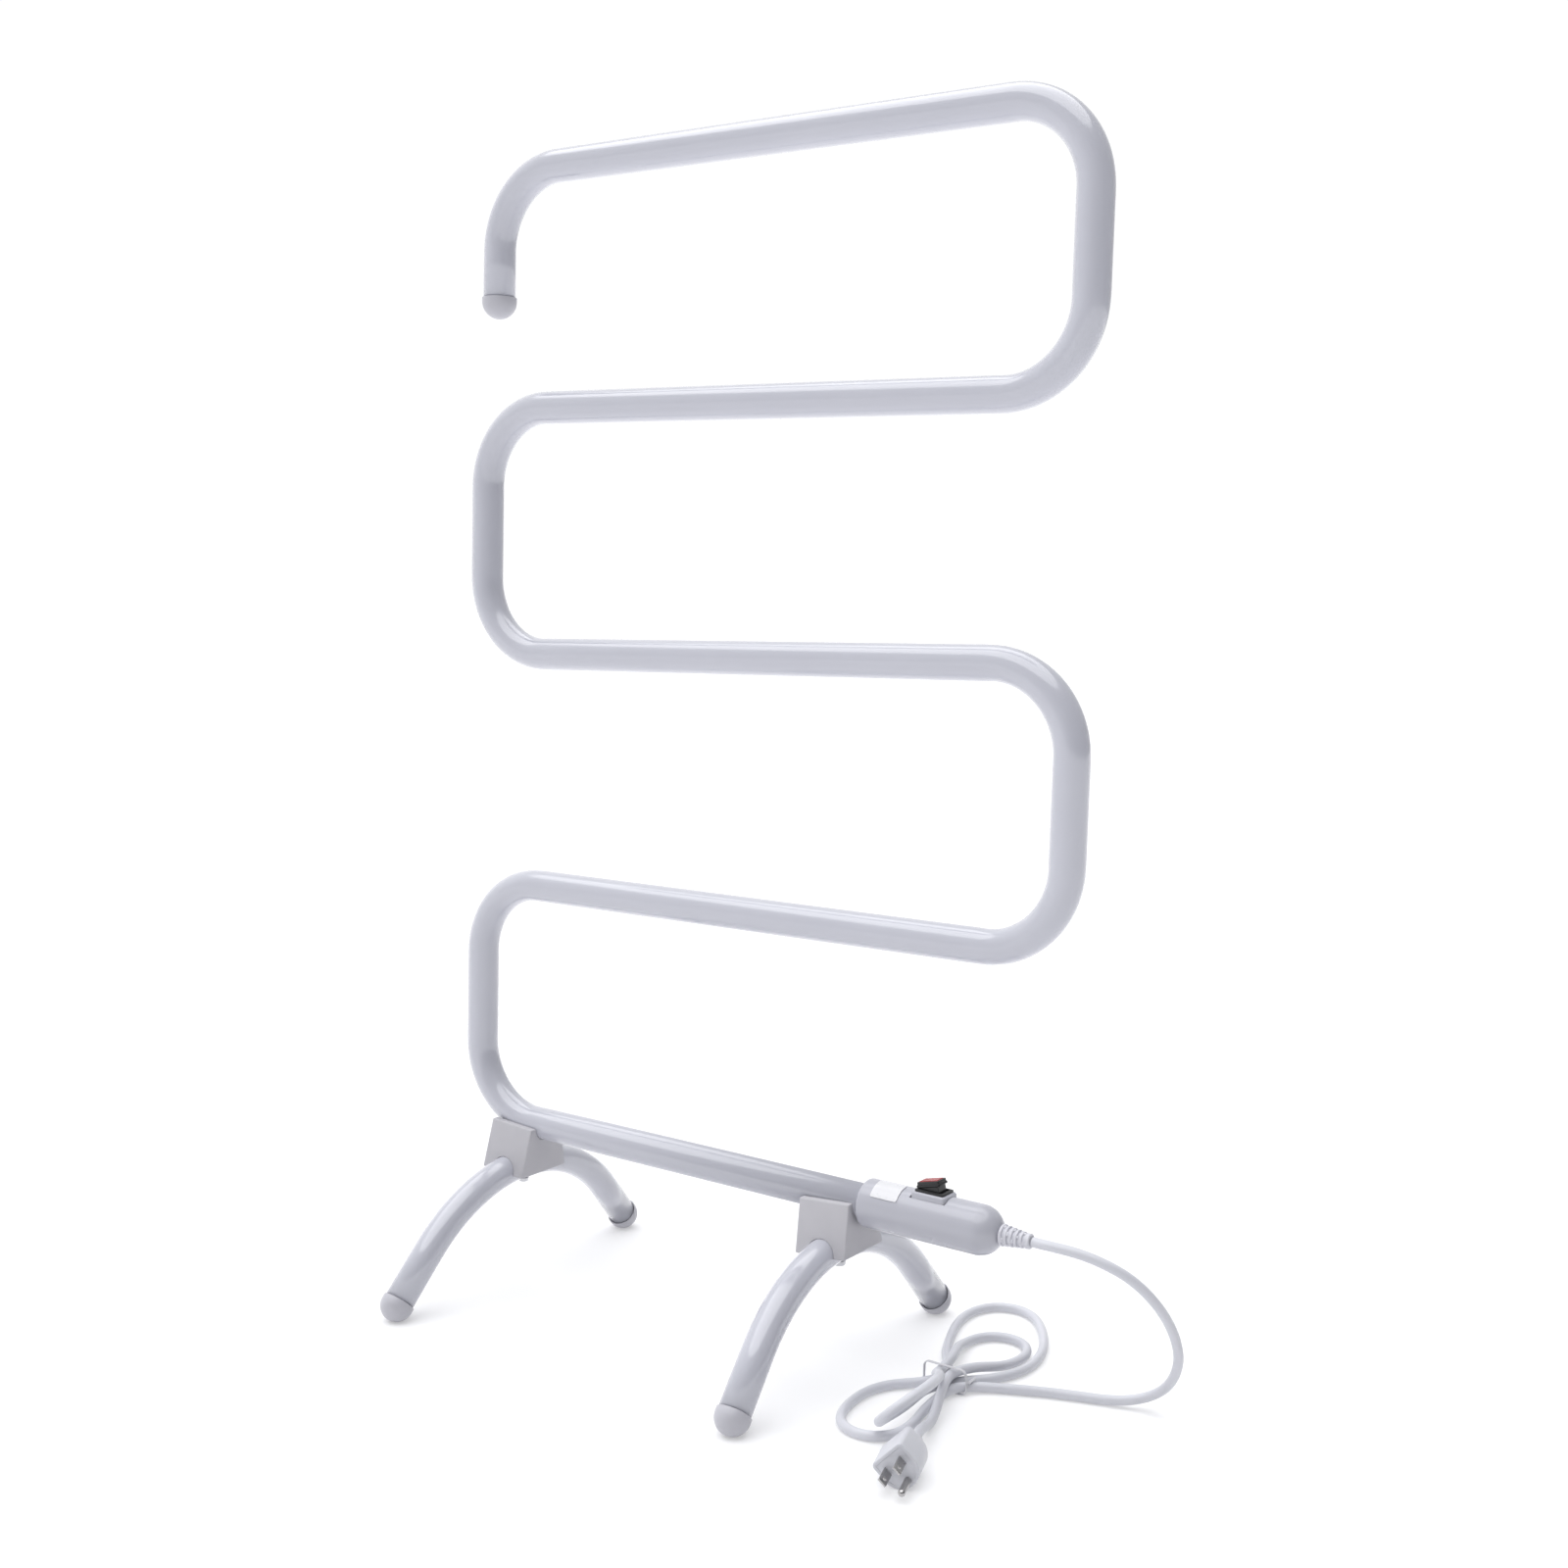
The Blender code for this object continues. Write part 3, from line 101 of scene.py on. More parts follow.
class Nodes:
    """A node tree that is added to by node type, settings and inputs."""

    def __init__(self, owner):
        owner.use_nodes = True
        self.tree = owner.node_tree

    def feed(self, socket, value):
        if isinstance(value, Value):
            self.tree.links.new(value.socket, socket)
        else:
            socket.default_value = value

    def add(self, kind, settings=None, inputs=None, output=0):
        node = self.tree.nodes.new(kind)
        for name, value in (settings or {}).items():
            setattr(node, name, value)
        for name, value in (inputs or {}).items():
            self.feed(node.inputs[name], value)
        return Value(self, node.outputs[output])

    def dot(self, vector, direction):
        return self.add("ShaderNodeVectorMath", {"operation": "DOT_PRODUCT"},
                        {0: vector, 1: direction}, "Value")


camera = bpy.data.objects.new("camera", bpy.data.cameras.new("camera"))
scene.collection.objects.link(camera)
camera.data.lens = CAMERA_LENS
camera.data.sensor_width = SENSOR_WIDTH
camera.matrix_world = (Matrix.Translation(CAMERA_PLACE)
                       @ Matrix.Rotation(CAMERA_AZIMUTH, 4, "Z")
                       @ Matrix.Rotation(math.pi / 2 - CAMERA_FALL, 4, "X")
                       @ Matrix.Rotation(CAMERA_ROLL, 4, "Z"))
scene.camera = camera

up = Vector((0.0, 0.0, 1.0))

scene.world = bpy.data.worlds.new("studio")
sky = Nodes(scene.world)
way = sky.add("ShaderNodeTexCoord", output="Generated")
rim = sky.add("ShaderNodeMapRange", {"interpolation_type": "SMOOTHSTEP"},
              {"Value": sky.dot(way, TOP_LIGHT_WAY), "From Min": TOP_LIGHT_EDGE[0],
               "From Max": TOP_LIGHT_EDGE[1], "To Max": TOP_LIGHT})
around = sky.dot(way, SKY_SLOPE) + SKY_LEVEL
light = around.math("MAXIMUM", around, SKY_LEAST) + rim
seen = sky.add("ShaderNodeLightPath", output="Is Camera Ray")
strength = seen * BACKDROP + (1 - seen) * light
backdrop = sky.tree.nodes["Background"]
backdrop.inputs["Color"].default_value = SKY_TINT
sky.feed(backdrop.inputs["Strength"], strength)

bm = bmesh.new()
bmesh.ops.create_grid(bm, x_segments=1, y_segments=1, size=FLOOR_SIZE / 2)
floor_mesh = bpy.data.meshes.new("floor")
bm.to_mesh(floor_mesh)
bm.free()
floor = bpy.data.objects.new("floor", floor_mesh)
scene.collection.objects.link(floor)
floor_paint = bpy.data.materials.new("floor_white")
floor_shader = Nodes(floor_paint).tree.nodes["Principled BSDF"]
for name, value in {"Base Color": FLOOR_WHITE, "Roughness": FLOOR_ROUGH,
                    "Specular IOR Level": 0.0, "Emission Color": (1.0, 1.0, 1.0, 1.0),
                    "Emission Strength": FLOOR_GLOW}.items():
    floor_shader.inputs[name].default_value = value
floor_mesh.materials.append(floor_paint)


# Mains cord ------------------------------------------------------------------
# A round three-core lead in white PVC.  It leaves the strain relief straight, falls to
# the floor in one wide turn, and lies folded in three flat loops that a tie holds.

AIR = 0.0003                    # between any two neighbouring parts
CORD_D = 0.007
CORD_STEP = 0.004               # between points of the centre line
CORD_LIES = 0.0038
CORD_DESCENT = (
    (0.0375, 0.000, 1.000), (0.0545, 0.004, 0.984), (0.0705, 0.010, 0.943),
    (0.0855, 0.019, 0.867), (0.0975, 0.029, 0.754), (0.105, 0.040, 0.617),
    (0.1075, 0.051, 0.472), (0.1055, 0.061, 0.332), (0.0995, 0.068, 0.207),
    (0.0905, 0.0715, 0.110), (0.0785, 0.070, 0.046), (0.0625, 0.0645, 0.010),
    (0.0395, 0.057, 0.000), (0.0155, 0.048, 0.000), (-0.0065, 0.0375, 0.000),
    (-0.0215, 0.029, 0.002), (-0.0325, 0.0195, 0.008), (-0.0385, 0.0085, 0.014),
    (-0.0405, -0.004, 0.010), (-0.0405, -0.018, 0.000),
)
CORD_NEAR_LOOP = (
    (-0.0385, -0.034, 0.0038), (-0.0355, -0.049, 0.0038), (-0.0345, -0.064, 0.0038),
    (-0.0375, -0.077, 0.0038), (-0.0465, -0.086, 0.0038), (-0.0585, -0.0885, 0.0038),
    (-0.0705, -0.084, 0.0038), (-0.0795, -0.073, 0.0038), (-0.0845, -0.058, 0.0038),
    (-0.0865, -0.042, 0.0038), (-0.0855, -0.027, 0.0038), (-0.0805, -0.013, 0.0038),
    (-0.072, -0.002, 0.004), (-0.0625, 0.006, 0.005), (-0.0565, 0.0155, 0.0056),
)
CORD_FAR_LOOP = (
    (-0.0555, 0.028, 0.0046), (-0.062, 0.043, 0.0038), (-0.0755, 0.064, 0.0038),
    (-0.086, 0.088, 0.0038), (-0.0945, 0.112, 0.0038), (-0.0985, 0.132, 0.0038),
    (-0.0975, 0.150, 0.0038), (-0.0885, 0.166, 0.0038), (-0.0735, 0.172, 0.0038),
    (-0.0575, 0.167, 0.0038), (-0.0435, 0.153, 0.0038), (-0.0315, 0.135, 0.0038),
    (-0.0215, 0.114, 0.0038), (-0.016, 0.093, 0.0038), (-0.0155, 0.074, 0.0038),
    (-0.02, 0.057, 0.0038), (-0.0285, 0.042, 0.0038), (-0.039, 0.027, 0.0046),
    (-0.0465, 0.013, 0.0056),
)
CORD_RAISED_LOOP = (
    (-0.0485, -0.002, 0.008), (-0.0475, -0.018, 0.0108), (-0.0455, -0.036, 0.0116),
    (-0.0445, -0.050, 0.0117), (-0.0443, -0.064, 0.012), (-0.0437, -0.078, 0.0132),
    (-0.039, -0.0903, 0.0177), (-0.0302, -0.0953, 0.0263), (-0.0214, -0.0903, 0.0349),
    (-0.0169, -0.078, 0.039), (-0.0175, -0.063, 0.0388), (-0.0215, -0.047, 0.036),
    (-0.0275, -0.032, 0.0315), (-0.0345, -0.0185, 0.026), (-0.0425, -0.0065, 0.0202),
    (-0.0497, 0.004, 0.0156), (-0.0527, 0.015, 0.0134),
)
CORD_SHORT_LOOP = (
    (-0.0557, 0.028, 0.0123), (-0.059, 0.043, 0.0115), (-0.0645, 0.058, 0.010),
    (-0.0695, 0.073, 0.0075), (-0.072, 0.088, 0.0046), (-0.07, 0.102, 0.0038),
    (-0.0615, 0.113, 0.0038), (-0.0485, 0.117, 0.0038), (-0.0355, 0.112, 0.0038),
    (-0.028, 0.100, 0.0038), (-0.0265, 0.086, 0.0038), (-0.0285, 0.072, 0.0045),
    (-0.032, 0.058, 0.0068), (-0.036, 0.045, 0.0098), (-0.0397, 0.032, 0.012),
    (-0.0427, 0.020, 0.0129),
)
CORD_LEAD = (
    (-0.0425, 0.008, 0.0131), (-0.039, -0.004, 0.0126), (-0.035, -0.016, 0.011),
    (-0.0307, -0.028, 0.008), (-0.0265, -0.041, 0.0056), (-0.023, -0.054, 0.0062),
    (-0.0195, -0.0665, 0.0098),
)
PLUG_ENTRY = (-0.0113, -0.0915, 0.0133)
PLUG_TURN = math.radians(-72.0)
PLUG_LEAD_IN = 0.008

CORD_WHITE = (0.63, 0.635, 0.68)
CORD_SHADE = (0.57, 0.575, 0.625)

housing_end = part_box("housing_upper")[1].x
relief_low, relief_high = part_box("strain_relief")
bar_axis = (relief_low.z + relief_high.z) / 2


class Finish(Nodes):
    """One finish of the rack: a material that varies over its surface."""

    def __init__(self, name, dark, light, patches, rough, **constants):
        """Mottled between two colours in patches of a size, and rough between two
        values; constants go on the shader's own sockets."""
        self.material = bpy.data.materials.new(name)
        super().__init__(self.material)
        self.shader = self.tree.nodes["Principled BSDF"]
        self.place = self.add("ShaderNodeTexCoord", output="Object")
        self.bump = None
        mottle = self.add("ShaderNodeMix", {"data_type": "RGBA"},
                          {0: self.grain(patches, 3), 6: (*dark, 1.0), 7: (*light, 1.0)},
                          2)
        gloss = self.add("ShaderNodeMapRange", {},
                         {"Value": self.grain(patches * 0.7, 2), "From Min": 0.3,
                          "From Max": 0.7, "To Min": rough[0], "To Max": rough[1]})
        self.feed(self.shader.inputs["Base Color"], mottle)
        self.feed(self.shader.inputs["Roughness"], gloss)
        for name, value in constants.items():
            self.shader.inputs[name.replace("_", " ")].default_value = value

    def grain(self, size, detail):
        """Noise from 0 to 1 with features of a size in metres."""
        return self.add("ShaderNodeTexNoise", {"noise_dimensions": "3D"},
                        {"Vector": self.place, "Scale": 1 / size, "Detail": detail,
                         "Roughness": 0.5})

    def relief(self, size, detail, depth):
        """Raise the surface by up to depth metres in noise of a size, over any relief
        that it has."""
        inputs = {"Strength": 1.0, "Distance": depth, "Height": self.grain(size, detail)}
        if self.bump:
            inputs["Normal"] = self.bump
        self.bump = self.add("ShaderNodeBump", {}, inputs)
        self.feed(self.shader.inputs["Normal"], self.bump)


def add_piece(name, data, finish, replaced, body="frame"):
    """Link a mesh or curve as a piece of the rack, with its finish, on its body."""
    piece = bpy.data.objects.new(name, data)
    scene.collection.objects.link(piece)
    data.materials.clear()
    data.materials.append(finish.material)
    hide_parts(*replaced)
    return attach(piece, body)


def smooth_route(route, step):
    """Evenly spaced points of the natural cubic spline through a route."""
    knots = np.array(route)
    count = len(knots)
    spans = np.linalg.norm(np.diff(knots, axis=0), axis=1)
    reach = np.concatenate(([0.0], np.cumsum(spans)))
    system = np.eye(count)
    slopes = np.zeros((count, 3))
    for i in range(1, count - 1):
        before, after = spans[i - 1], spans[i]
        system[i, i - 1:i + 2] = before, 2 * (before + after), after
        slopes[i] = 6 * ((knots[i + 1] - knots[i]) / after
                         - (knots[i] - knots[i - 1]) / before)
    bends = np.linalg.solve(system, slopes)
    places = np.linspace(0.0, reach[-1], round(reach[-1] / step) + 1)
    span = np.clip(np.searchsorted(reach, places, side="right") - 1, 0, count - 2)
    width = spans[span][:, None]
    left = (reach[span + 1] - places)[:, None] / width
    right = 1 - left
    return (left * knots[span] + right * knots[span + 1]
            + ((left ** 3 - left) * bends[span]
               + (right ** 3 - right) * bends[span + 1]) * width ** 2 / 6)


def round_wire(name, points, radius, resolution):
    """Curve data for a round cord or wire through the given points."""
    curve = bpy.data.curves.new(name, "CURVE")
    curve.dimensions = "3D"
    curve.bevel_depth = radius
    curve.bevel_resolution = resolution
    curve.use_fill_caps = True
    spline = curve.splines.new("POLY")
    spline.points.add(len(points) - 1)
    for knot, point in zip(spline.points, points):
        knot.co = (*point, 1.0)
    return curve


def soft_pvc(name, shade, white, rough):
    """Satin PVC: faint mottling, a matt bloom and fine extrusion ripple."""
    finish = Finish(name, shade, white, 0.030, rough, Coat_Weight=0.08,
                    Coat_Roughness=0.25, Specular_IOR_Level=0.45)
    finish.relief(0.0030, 2, 0.00004)
    finish.relief(0.00035, 2, 0.000004)
    return finish


plug_way = Vector((math.cos(PLUG_TURN), math.sin(PLUG_TURN), 0.0))
plug_entry = Vector((housing_end, 0, 0)) + Vector(PLUG_ENTRY)
cord_exit = Vector((relief_high.x + AIR, 0.0, bar_axis))
descent = [(x, y, CORD_LIES + share * (bar_axis - CORD_LIES))
           for x, y, share in CORD_DESCENT]
loops = [*descent, *CORD_NEAR_LOOP, *CORD_FAR_LOOP, *CORD_RAISED_LOOP, *CORD_SHORT_LOOP,
         *CORD_LEAD]
route = [tuple(cord_exit), *((housing_end + x, y, z) for x, y, z in loops),
         tuple(plug_entry - PLUG_LEAD_IN * plug_way)]
cord_line = [*smooth_route(route, CORD_STEP), tuple(plug_entry)]
cord_pvc = soft_pvc("cord_white_pvc", CORD_SHADE, CORD_WHITE, (0.34, 0.44))
cord = add_piece("mains_cord", round_wire("mains_cord", cord_line, CORD_D / 2, 6),
                 cord_pvc, ["power_cord"])


# Cord tie --------------------------------------------------------------------
# A thin plastic-covered wire, wound twice round the waist of the coil, with its two ends
# twisted together along the coil's side.

TIE_PLACE = (-0.0477, 0.013, 0.0097)
TIE_HALF = (0.0170, 0.0090)     # half width and half height of the winding
TIE_CORNER = 0.0042
TIE_D = 0.0011
TIE_PITCH = 0.0013              # between the two turns
TIE_TAIL = 0.011                # of the twisted ends
TIE_TWISTS = 2.5
TIE_TWIST_R = TIE_D * 0.55
TIE_TAIL_PLACE = (TIE_HALF[0] + 0.0007, 0.0016)

tie_turns = []
for turn in range(2):
    for sx, sz, quarter in ((1, 1, 0), (-1, 1, 1), (-1, -1, 2), (1, -1, 3)):
        for i in range(7):
            quarters = quarter + i / 6
            angle = quarters * math.pi / 2
            tie_turns.append((
                sx * (TIE_HALF[0] - TIE_CORNER) + TIE_CORNER * math.cos(angle),
                TIE_PITCH * (turn + quarters / 4 - 1),
                sz * (TIE_HALF[1] - TIE_CORNER) + TIE_CORNER * math.sin(angle)))
tie_tails = []
for way_round in (0, math.pi):
    tail = []
    for i in range(25):
        angle = way_round + TIE_TWISTS * math.tau * i / 24
        tail.append((TIE_TAIL_PLACE[0] + TIE_TWIST_R * math.cos(angle),
                     TIE_TAIL_PLACE[1] + TIE_TAIL * i / 24,
                     TIE_TWIST_R * math.sin(angle)))
    tie_tails.append(tail)
tie_middle = Vector((housing_end, 0, 0)) + Vector(TIE_PLACE)
tie_line = [tie_middle + Vector(point) for point in
            [*reversed(tie_tails[0]), *tie_turns, *tie_tails[1]]]
tie_film = soft_pvc("tie_plastic", (0.60, 0.60, 0.63), (0.68, 0.68, 0.71),
                    (0.30, 0.40))
cord_tie = add_piece("twist_tie", round_wire("twist_tie", tie_line, TIE_D / 2, 3),
                     tie_film, ["cord_tie"])


# Plug ------------------------------------------------------------------------
# A one-piece moulding in the cord's own PVC over two flat blades and a round earth pin,
# which are nickel-plated brass.  It lies over on the round side of its body.

PLUG_ROLL = math.radians(-45.0)
PLUG_HALF = 0.013
PLUG_CORNER = 0.0030
PLUG_NECK_R = 0.00625
PLUG_NECK_END = 0.0095          # where the shoulder begins, from the cord
PLUG_SHOULDER = 0.0085
PLUG_MIDDLE = 0.0300
PLUG_EDGE = 0.0009              # rounding of the face's edge
PLUG_DISH = 0.0003              # sinking of the face within a rim
PLUG_RIM = 0.0022
PLUG_END = 0.044
BLADE = (0.0016, 0.0064, 0.0160)
BLADE_SIDE = 0.00635            # of a blade's middle from the plug's middle
BLADE_RISE = 0.0035
BLADE_HOLE_R = 0.0015
BLADE_HOLE_ROOM = 0.0032        # of the pierced part of a blade behind its hole
BLADE_EDGE = 0.0003
BLADE_HOLE_IN = 0.0046          # of the hole from the tip
EARTH_PIN_R = 0.0024
EARTH_PIN = 0.0190
EARTH_DROP = 0.0119


def arc(centre, radius, start, end, steps):
    """Points of an arc in its own plane, angles in radians."""
    angles = [start + (end - start) * i / steps for i in range(steps + 1)]
    return [(centre[0] + radius * math.cos(a), centre[1] + radius * math.sin(a))
            for a in angles]


def loft(loops, closed=False):
    """Walls through loops of equally many points; the ends are filled, or joined."""
    bm = bmesh.new()
    edges = []
    rings = []
    for points in loops:
        verts = [bm.verts.new(point) for point in points]
        rings.append(verts)
        edges.append([bm.edges.new(pair) for pair in zip(verts, verts[1:] + verts[:1])])
    following = edges[1:] + edges[:1] if closed else edges[1:]
    for first, second in zip(edges, following):
        bmesh.ops.bridge_loops(bm, edges=first + second)
    if not closed:
        bm.faces.new(rings[0])
        bm.faces.new(rings[-1])
    return bm


def shaded(mesh, sharp):
    """The mesh, shaded smooth with sharp edges past an angle in degrees."""
    mesh.shade_smooth()
    mesh.set_sharp_from_angle(angle=math.radians(sharp))
    return mesh


def as_mesh(name, bm, sharp=35):
    """Mesh data from a bmesh, with its normals outward."""
    bmesh.ops.recalc_face_normals(bm, faces=bm.faces)
    mesh = bpy.data.meshes.new(name)
    bm.to_mesh(mesh)
    bm.free()
    return shaded(mesh, sharp)


def add_solid(name, bm, finish, replaced, body="frame", sharp=35):
    """Link a bmesh as a piece of the rack."""
    return add_piece(name, as_mesh(name, bm, sharp), finish, replaced, body)


def pull(bm, grown, vec):
    """Move the corners that an extrusion has made."""
    bmesh.ops.translate(bm, vec=vec, verts=[part for part in grown["geom"]
                                            if isinstance(part, bmesh.types.BMVert)])


def turned(profile, steps, place=None):
    """An outline of (radius, height) spun about Z; off the axis it is closed."""
    bm = bmesh.new()
    verts = [bm.verts.new((radius, 0, height)) for radius, height in profile]
    edges = [bm.edges.new(pair) for pair in zip(verts, verts[1:])]
    if profile[0][0] > 0:
        edges.append(bm.edges.new((verts[-1], verts[0])))
    bmesh.ops.spin(bm, geom=verts + edges, cent=(0, 0, 0), axis=(0, 0, 1),
                   angle=math.tau, steps=steps, use_merge=True)
    bmesh.ops.remove_doubles(bm, verts=bm.verts, dist=1e-7)
    on_axis = [edge for edge in bm.edges if edge.is_wire]
    bmesh.ops.delete(bm, geom=on_axis, context="EDGES")
    if place:
        bmesh.ops.transform(bm, matrix=place, verts=bm.verts)
    return bm


def metal(name, dark, light, rough, lines):
    """Plated metal with fine drawing lines of a spacing in metres."""
    finish = Finish(name, dark, light, 0.004, rough, Metallic=1.0)
    finish.relief(lines, 3, 0.000004)
    return finish


def plug_outline(grow):
    """The body's section: flat behind the blades, round under the earth pin."""
    half = PLUG_HALF + grow
    corner = PLUG_CORNER + grow
    inner = half - corner
    points = arc((inner, inner), corner, 0, math.pi / 2, 8)
    points += arc((-inner, inner), corner, math.pi / 2, math.pi, 8)
    return points + arc((0, 0), half, math.pi, math.tau, 30)[1:-1]


def round_section(radius):
    """A circle whose points face the ones of the body's section."""
    return [tuple(radius * Vector(point).normalized()) for point in plug_outline(0.0)]


def between(first, second, share):
    """A section part of the way from one to another."""
    return [tuple(Vector(a).lerp(Vector(b), share)) for a, b in zip(first, second)]


plug_frame = (Matrix.Translation(plug_entry + AIR * plug_way)
              @ Matrix((plug_way.cross(up), up, -plug_way)).transposed().to_4x4()
              @ Matrix.Rotation(PLUG_ROLL, 4, "Z"))
plug_sections = [(round_section(PLUG_NECK_R * share), depth) for share, depth in
                 ((0.74, 0.0), (0.90, 0.0004), (0.99, 0.0012), (1.0, 0.0022),
                  (1.0, PLUG_NECK_END))]
neck_section = round_section(PLUG_NECK_R)
full_section = plug_outline(0.0)
for i in range(1, 9):
    share = i / 8
    ease = share * share * (3 - 2 * share)
    plug_sections.append((between(neck_section, full_section, ease),
                          PLUG_NECK_END + PLUG_SHOULDER * share))
plug_sections += [(full_section, PLUG_MIDDLE), (full_section, PLUG_END - PLUG_EDGE)]
for i in range(1, 5):
    angle = i / 4 * math.pi / 2
    plug_sections.append((plug_outline(-PLUG_EDGE * (1 - math.cos(angle))),
                          PLUG_END - PLUG_EDGE * (1 - math.sin(angle))))
plug_sections += [(plug_outline(-PLUG_RIM), PLUG_END),
                  (plug_outline(-PLUG_RIM - PLUG_DISH), PLUG_END - PLUG_DISH)]
bm = loft([[(x, y, -depth) for x, y in section] for section, depth in plug_sections])
bmesh.ops.transform(bm, matrix=plug_frame, verts=bm.verts)
plug_pvc = soft_pvc("plug_white_pvc", (0.54, 0.545, 0.59), (0.61, 0.615, 0.66),
                    (0.32, 0.42))
plug = add_solid("plug_moulding", bm, plug_pvc, ["plug_body"])

blade_metal = metal("nickel_plate", (0.36, 0.355, 0.36), (0.50, 0.49, 0.49),
                    (0.26, 0.40), 0.0004)


def contact_frame(side, rise):
    """The frame of a blade or pin that stands on the plug's face, pointing out."""
    return (plug_frame @ Matrix.Translation((side, rise, -PLUG_END - AIR))
            @ Matrix.Rotation(math.pi, 4, "X"))


def blade(side):
    """A flat blade with a round hole near its tip and broken edges."""
    half = BLADE[1] / 2
    centre = Vector((0, BLADE[2] - BLADE_HOLE_IN))
    low, high = centre.y - BLADE_HOLE_ROOM, BLADE[2]
    sides = []
    corners = [(half, low), (half, high), (-half, high), (-half, low)]
    for first, second in zip(corners, corners[1:] + corners[:1]):
        sides += [Vector(first).lerp(Vector(second), i / 6) for i in range(6)]
    hole = [centre + BLADE_HOLE_R * (point - centre).normalized() for point in sides]
    bm = bmesh.new()
    rings = []
    for points in (sides, hole):
        verts = [bm.verts.new((0.0, *point)) for point in points]
        rings.append([bm.edges.new(pair) for pair in zip(verts, verts[1:] + verts[:1])])
    bmesh.ops.bridge_loops(bm, edges=rings[0] + rings[1])
    lowest = [edge for edge in rings[0] if all(v.co.z < low + 1e-6 for v in edge.verts)]
    pull(bm, bmesh.ops.extrude_edge_only(bm, edges=lowest), (0, 0, -low))
    bmesh.ops.recalc_face_normals(bm, faces=bm.faces)
    bmesh.ops.translate(bm, vec=(-BLADE[0] / 2, 0, 0), verts=bm.verts)
    pull(bm, bmesh.ops.extrude_face_region(bm, geom=bm.faces[:]), (BLADE[0], 0, 0))
    bmesh.ops.recalc_face_normals(bm, faces=bm.faces)
    edges = [edge for edge in bm.edges if edge.calc_face_angle(0) > math.radians(60)]
    bmesh.ops.bevel(bm, geom=edges, offset=BLADE_EDGE, offset_type="OFFSET", segments=3,
                    profile=0.5, affect="EDGES", material=-1)
    bmesh.ops.transform(bm, matrix=contact_frame(side, BLADE_RISE), verts=bm.verts)
    return bm


blade_line, blade_neutral = (
    add_solid(f"blade_{name}", blade(side), blade_metal, [f"plug_blade_{name}"])
    for name, side in (("line", -BLADE_SIDE), ("neutral", BLADE_SIDE)))

pin_profile = [(0, 0), (EARTH_PIN_R, 0)]
pin_profile += arc((0, EARTH_PIN - EARTH_PIN_R), EARTH_PIN_R, 0, math.pi / 2, 10)
pin_profile[-1] = (0, EARTH_PIN)
earth_pin = add_solid("earth_pin",
                      turned(pin_profile, 32, contact_frame(0, BLADE_RISE - EARTH_DROP)),
                      blade_metal, ["plug_earth_pin"])


# Rack tube -------------------------------------------------------------------
# One steel tube, bent eight times round a former and powder coated in gloss white.  The
# former leaves each bend a little flattened, with a soft shoulder where it begins.

TUBE_R = 0.0125
TUBE_WALL = 0.0012
BEND_RADIUS = 0.060
BEND_STEPS = 24
HALF_SPACING = 0.260
BAR_PITCHES = (0.1945, 0.188, 0.1835, 0.184)    # from the lowest bar upwards
BAR_SLOPES = (0.0, 0.5, 1.5, -0.6, 0.0)         # degrees up towards +X, same order
HOOK_X = -0.250
HOOK_DROP = 0.098               # of the hook cap's dome below the top bar
CAP_SEAT = 0.0020               # of a tube's end in its cap, short of the dome
TUBE_END = 0.1485
FLATTENED = 0.020               # share of the tube's width lost in a bend
FLAT_START = 0.35               # share of that at the bend's very start
WIDENED = 0.3                   # width gained across a bend, over the width lost
SHOULDER = 0.0035               # length of a shoulder along the tube
TUBE_SIDES = 48


def bent_line(corners):
    """The centre line through corners, with how far each point is flattened."""
    line = [(Vector(corners[0]), 0.0)]
    for before, corner, after in zip(corners, corners[1:], corners[2:]):
        corner = Vector(corner)
        back = (Vector(before) - corner).normalized()
        ahead = (Vector(after) - corner).normalized()
        half = back.angle(ahead) / 2
        reach = BEND_RADIUS / math.tan(half)
        start = corner + back * reach
        centre = corner + (back + ahead).normalized() * BEND_RADIUS / math.sin(half)
        axis = back.cross(ahead)
        line.append((start + back * SHOULDER * 2, 0.0))
        line.append((start + back * SHOULDER, 0.0))
        for i in range(BEND_STEPS + 1):
            turn = Matrix.Rotation(-(math.pi - 2 * half) * i / BEND_STEPS, 3, axis)
            share = min(i, BEND_STEPS - i) / 3
            flat = min(1.0, FLAT_START + (1 - FLAT_START) * share)
            line.append((centre + turn @ (start - centre), flat))
        line.append((corner + ahead * (reach + SHOULDER), 0.0))
        line.append((corner + ahead * (reach + SHOULDER * 2), 0.0))
    line.append((Vector(corners[-1]), 0.0))
    return line


def swept(line, side, radius, sides, cap_ends=False):
    """The skin of a tube along a flat line, which side stands square to."""
    bm = bmesh.new()
    points = [point for point, _ in line]
    last = len(line) - 1
    rings = []
    for i, (point, flat) in enumerate(line):
        ahead = (points[min(i + 1, last)] - points[max(i - 1, 0)]).normalized()
        axes = (side * (1 + WIDENED * FLATTENED * flat),
                ahead.cross(side) * (1 - FLATTENED * flat), ahead)
        place = Matrix.Translation(point) @ Matrix(axes).transposed().to_4x4()
        verts = bmesh.ops.create_circle(bm, segments=sides, radius=radius, matrix=place,
                                        cap_ends=cap_ends and i in (0, last))["verts"]
        rings.append(list(dict.fromkeys(edge for vert in verts
                                        for edge in vert.link_edges)))
    for first, second in zip(rings, rings[1:]):
        bmesh.ops.bridge_loops(bm, edges=first + second)
    return bm


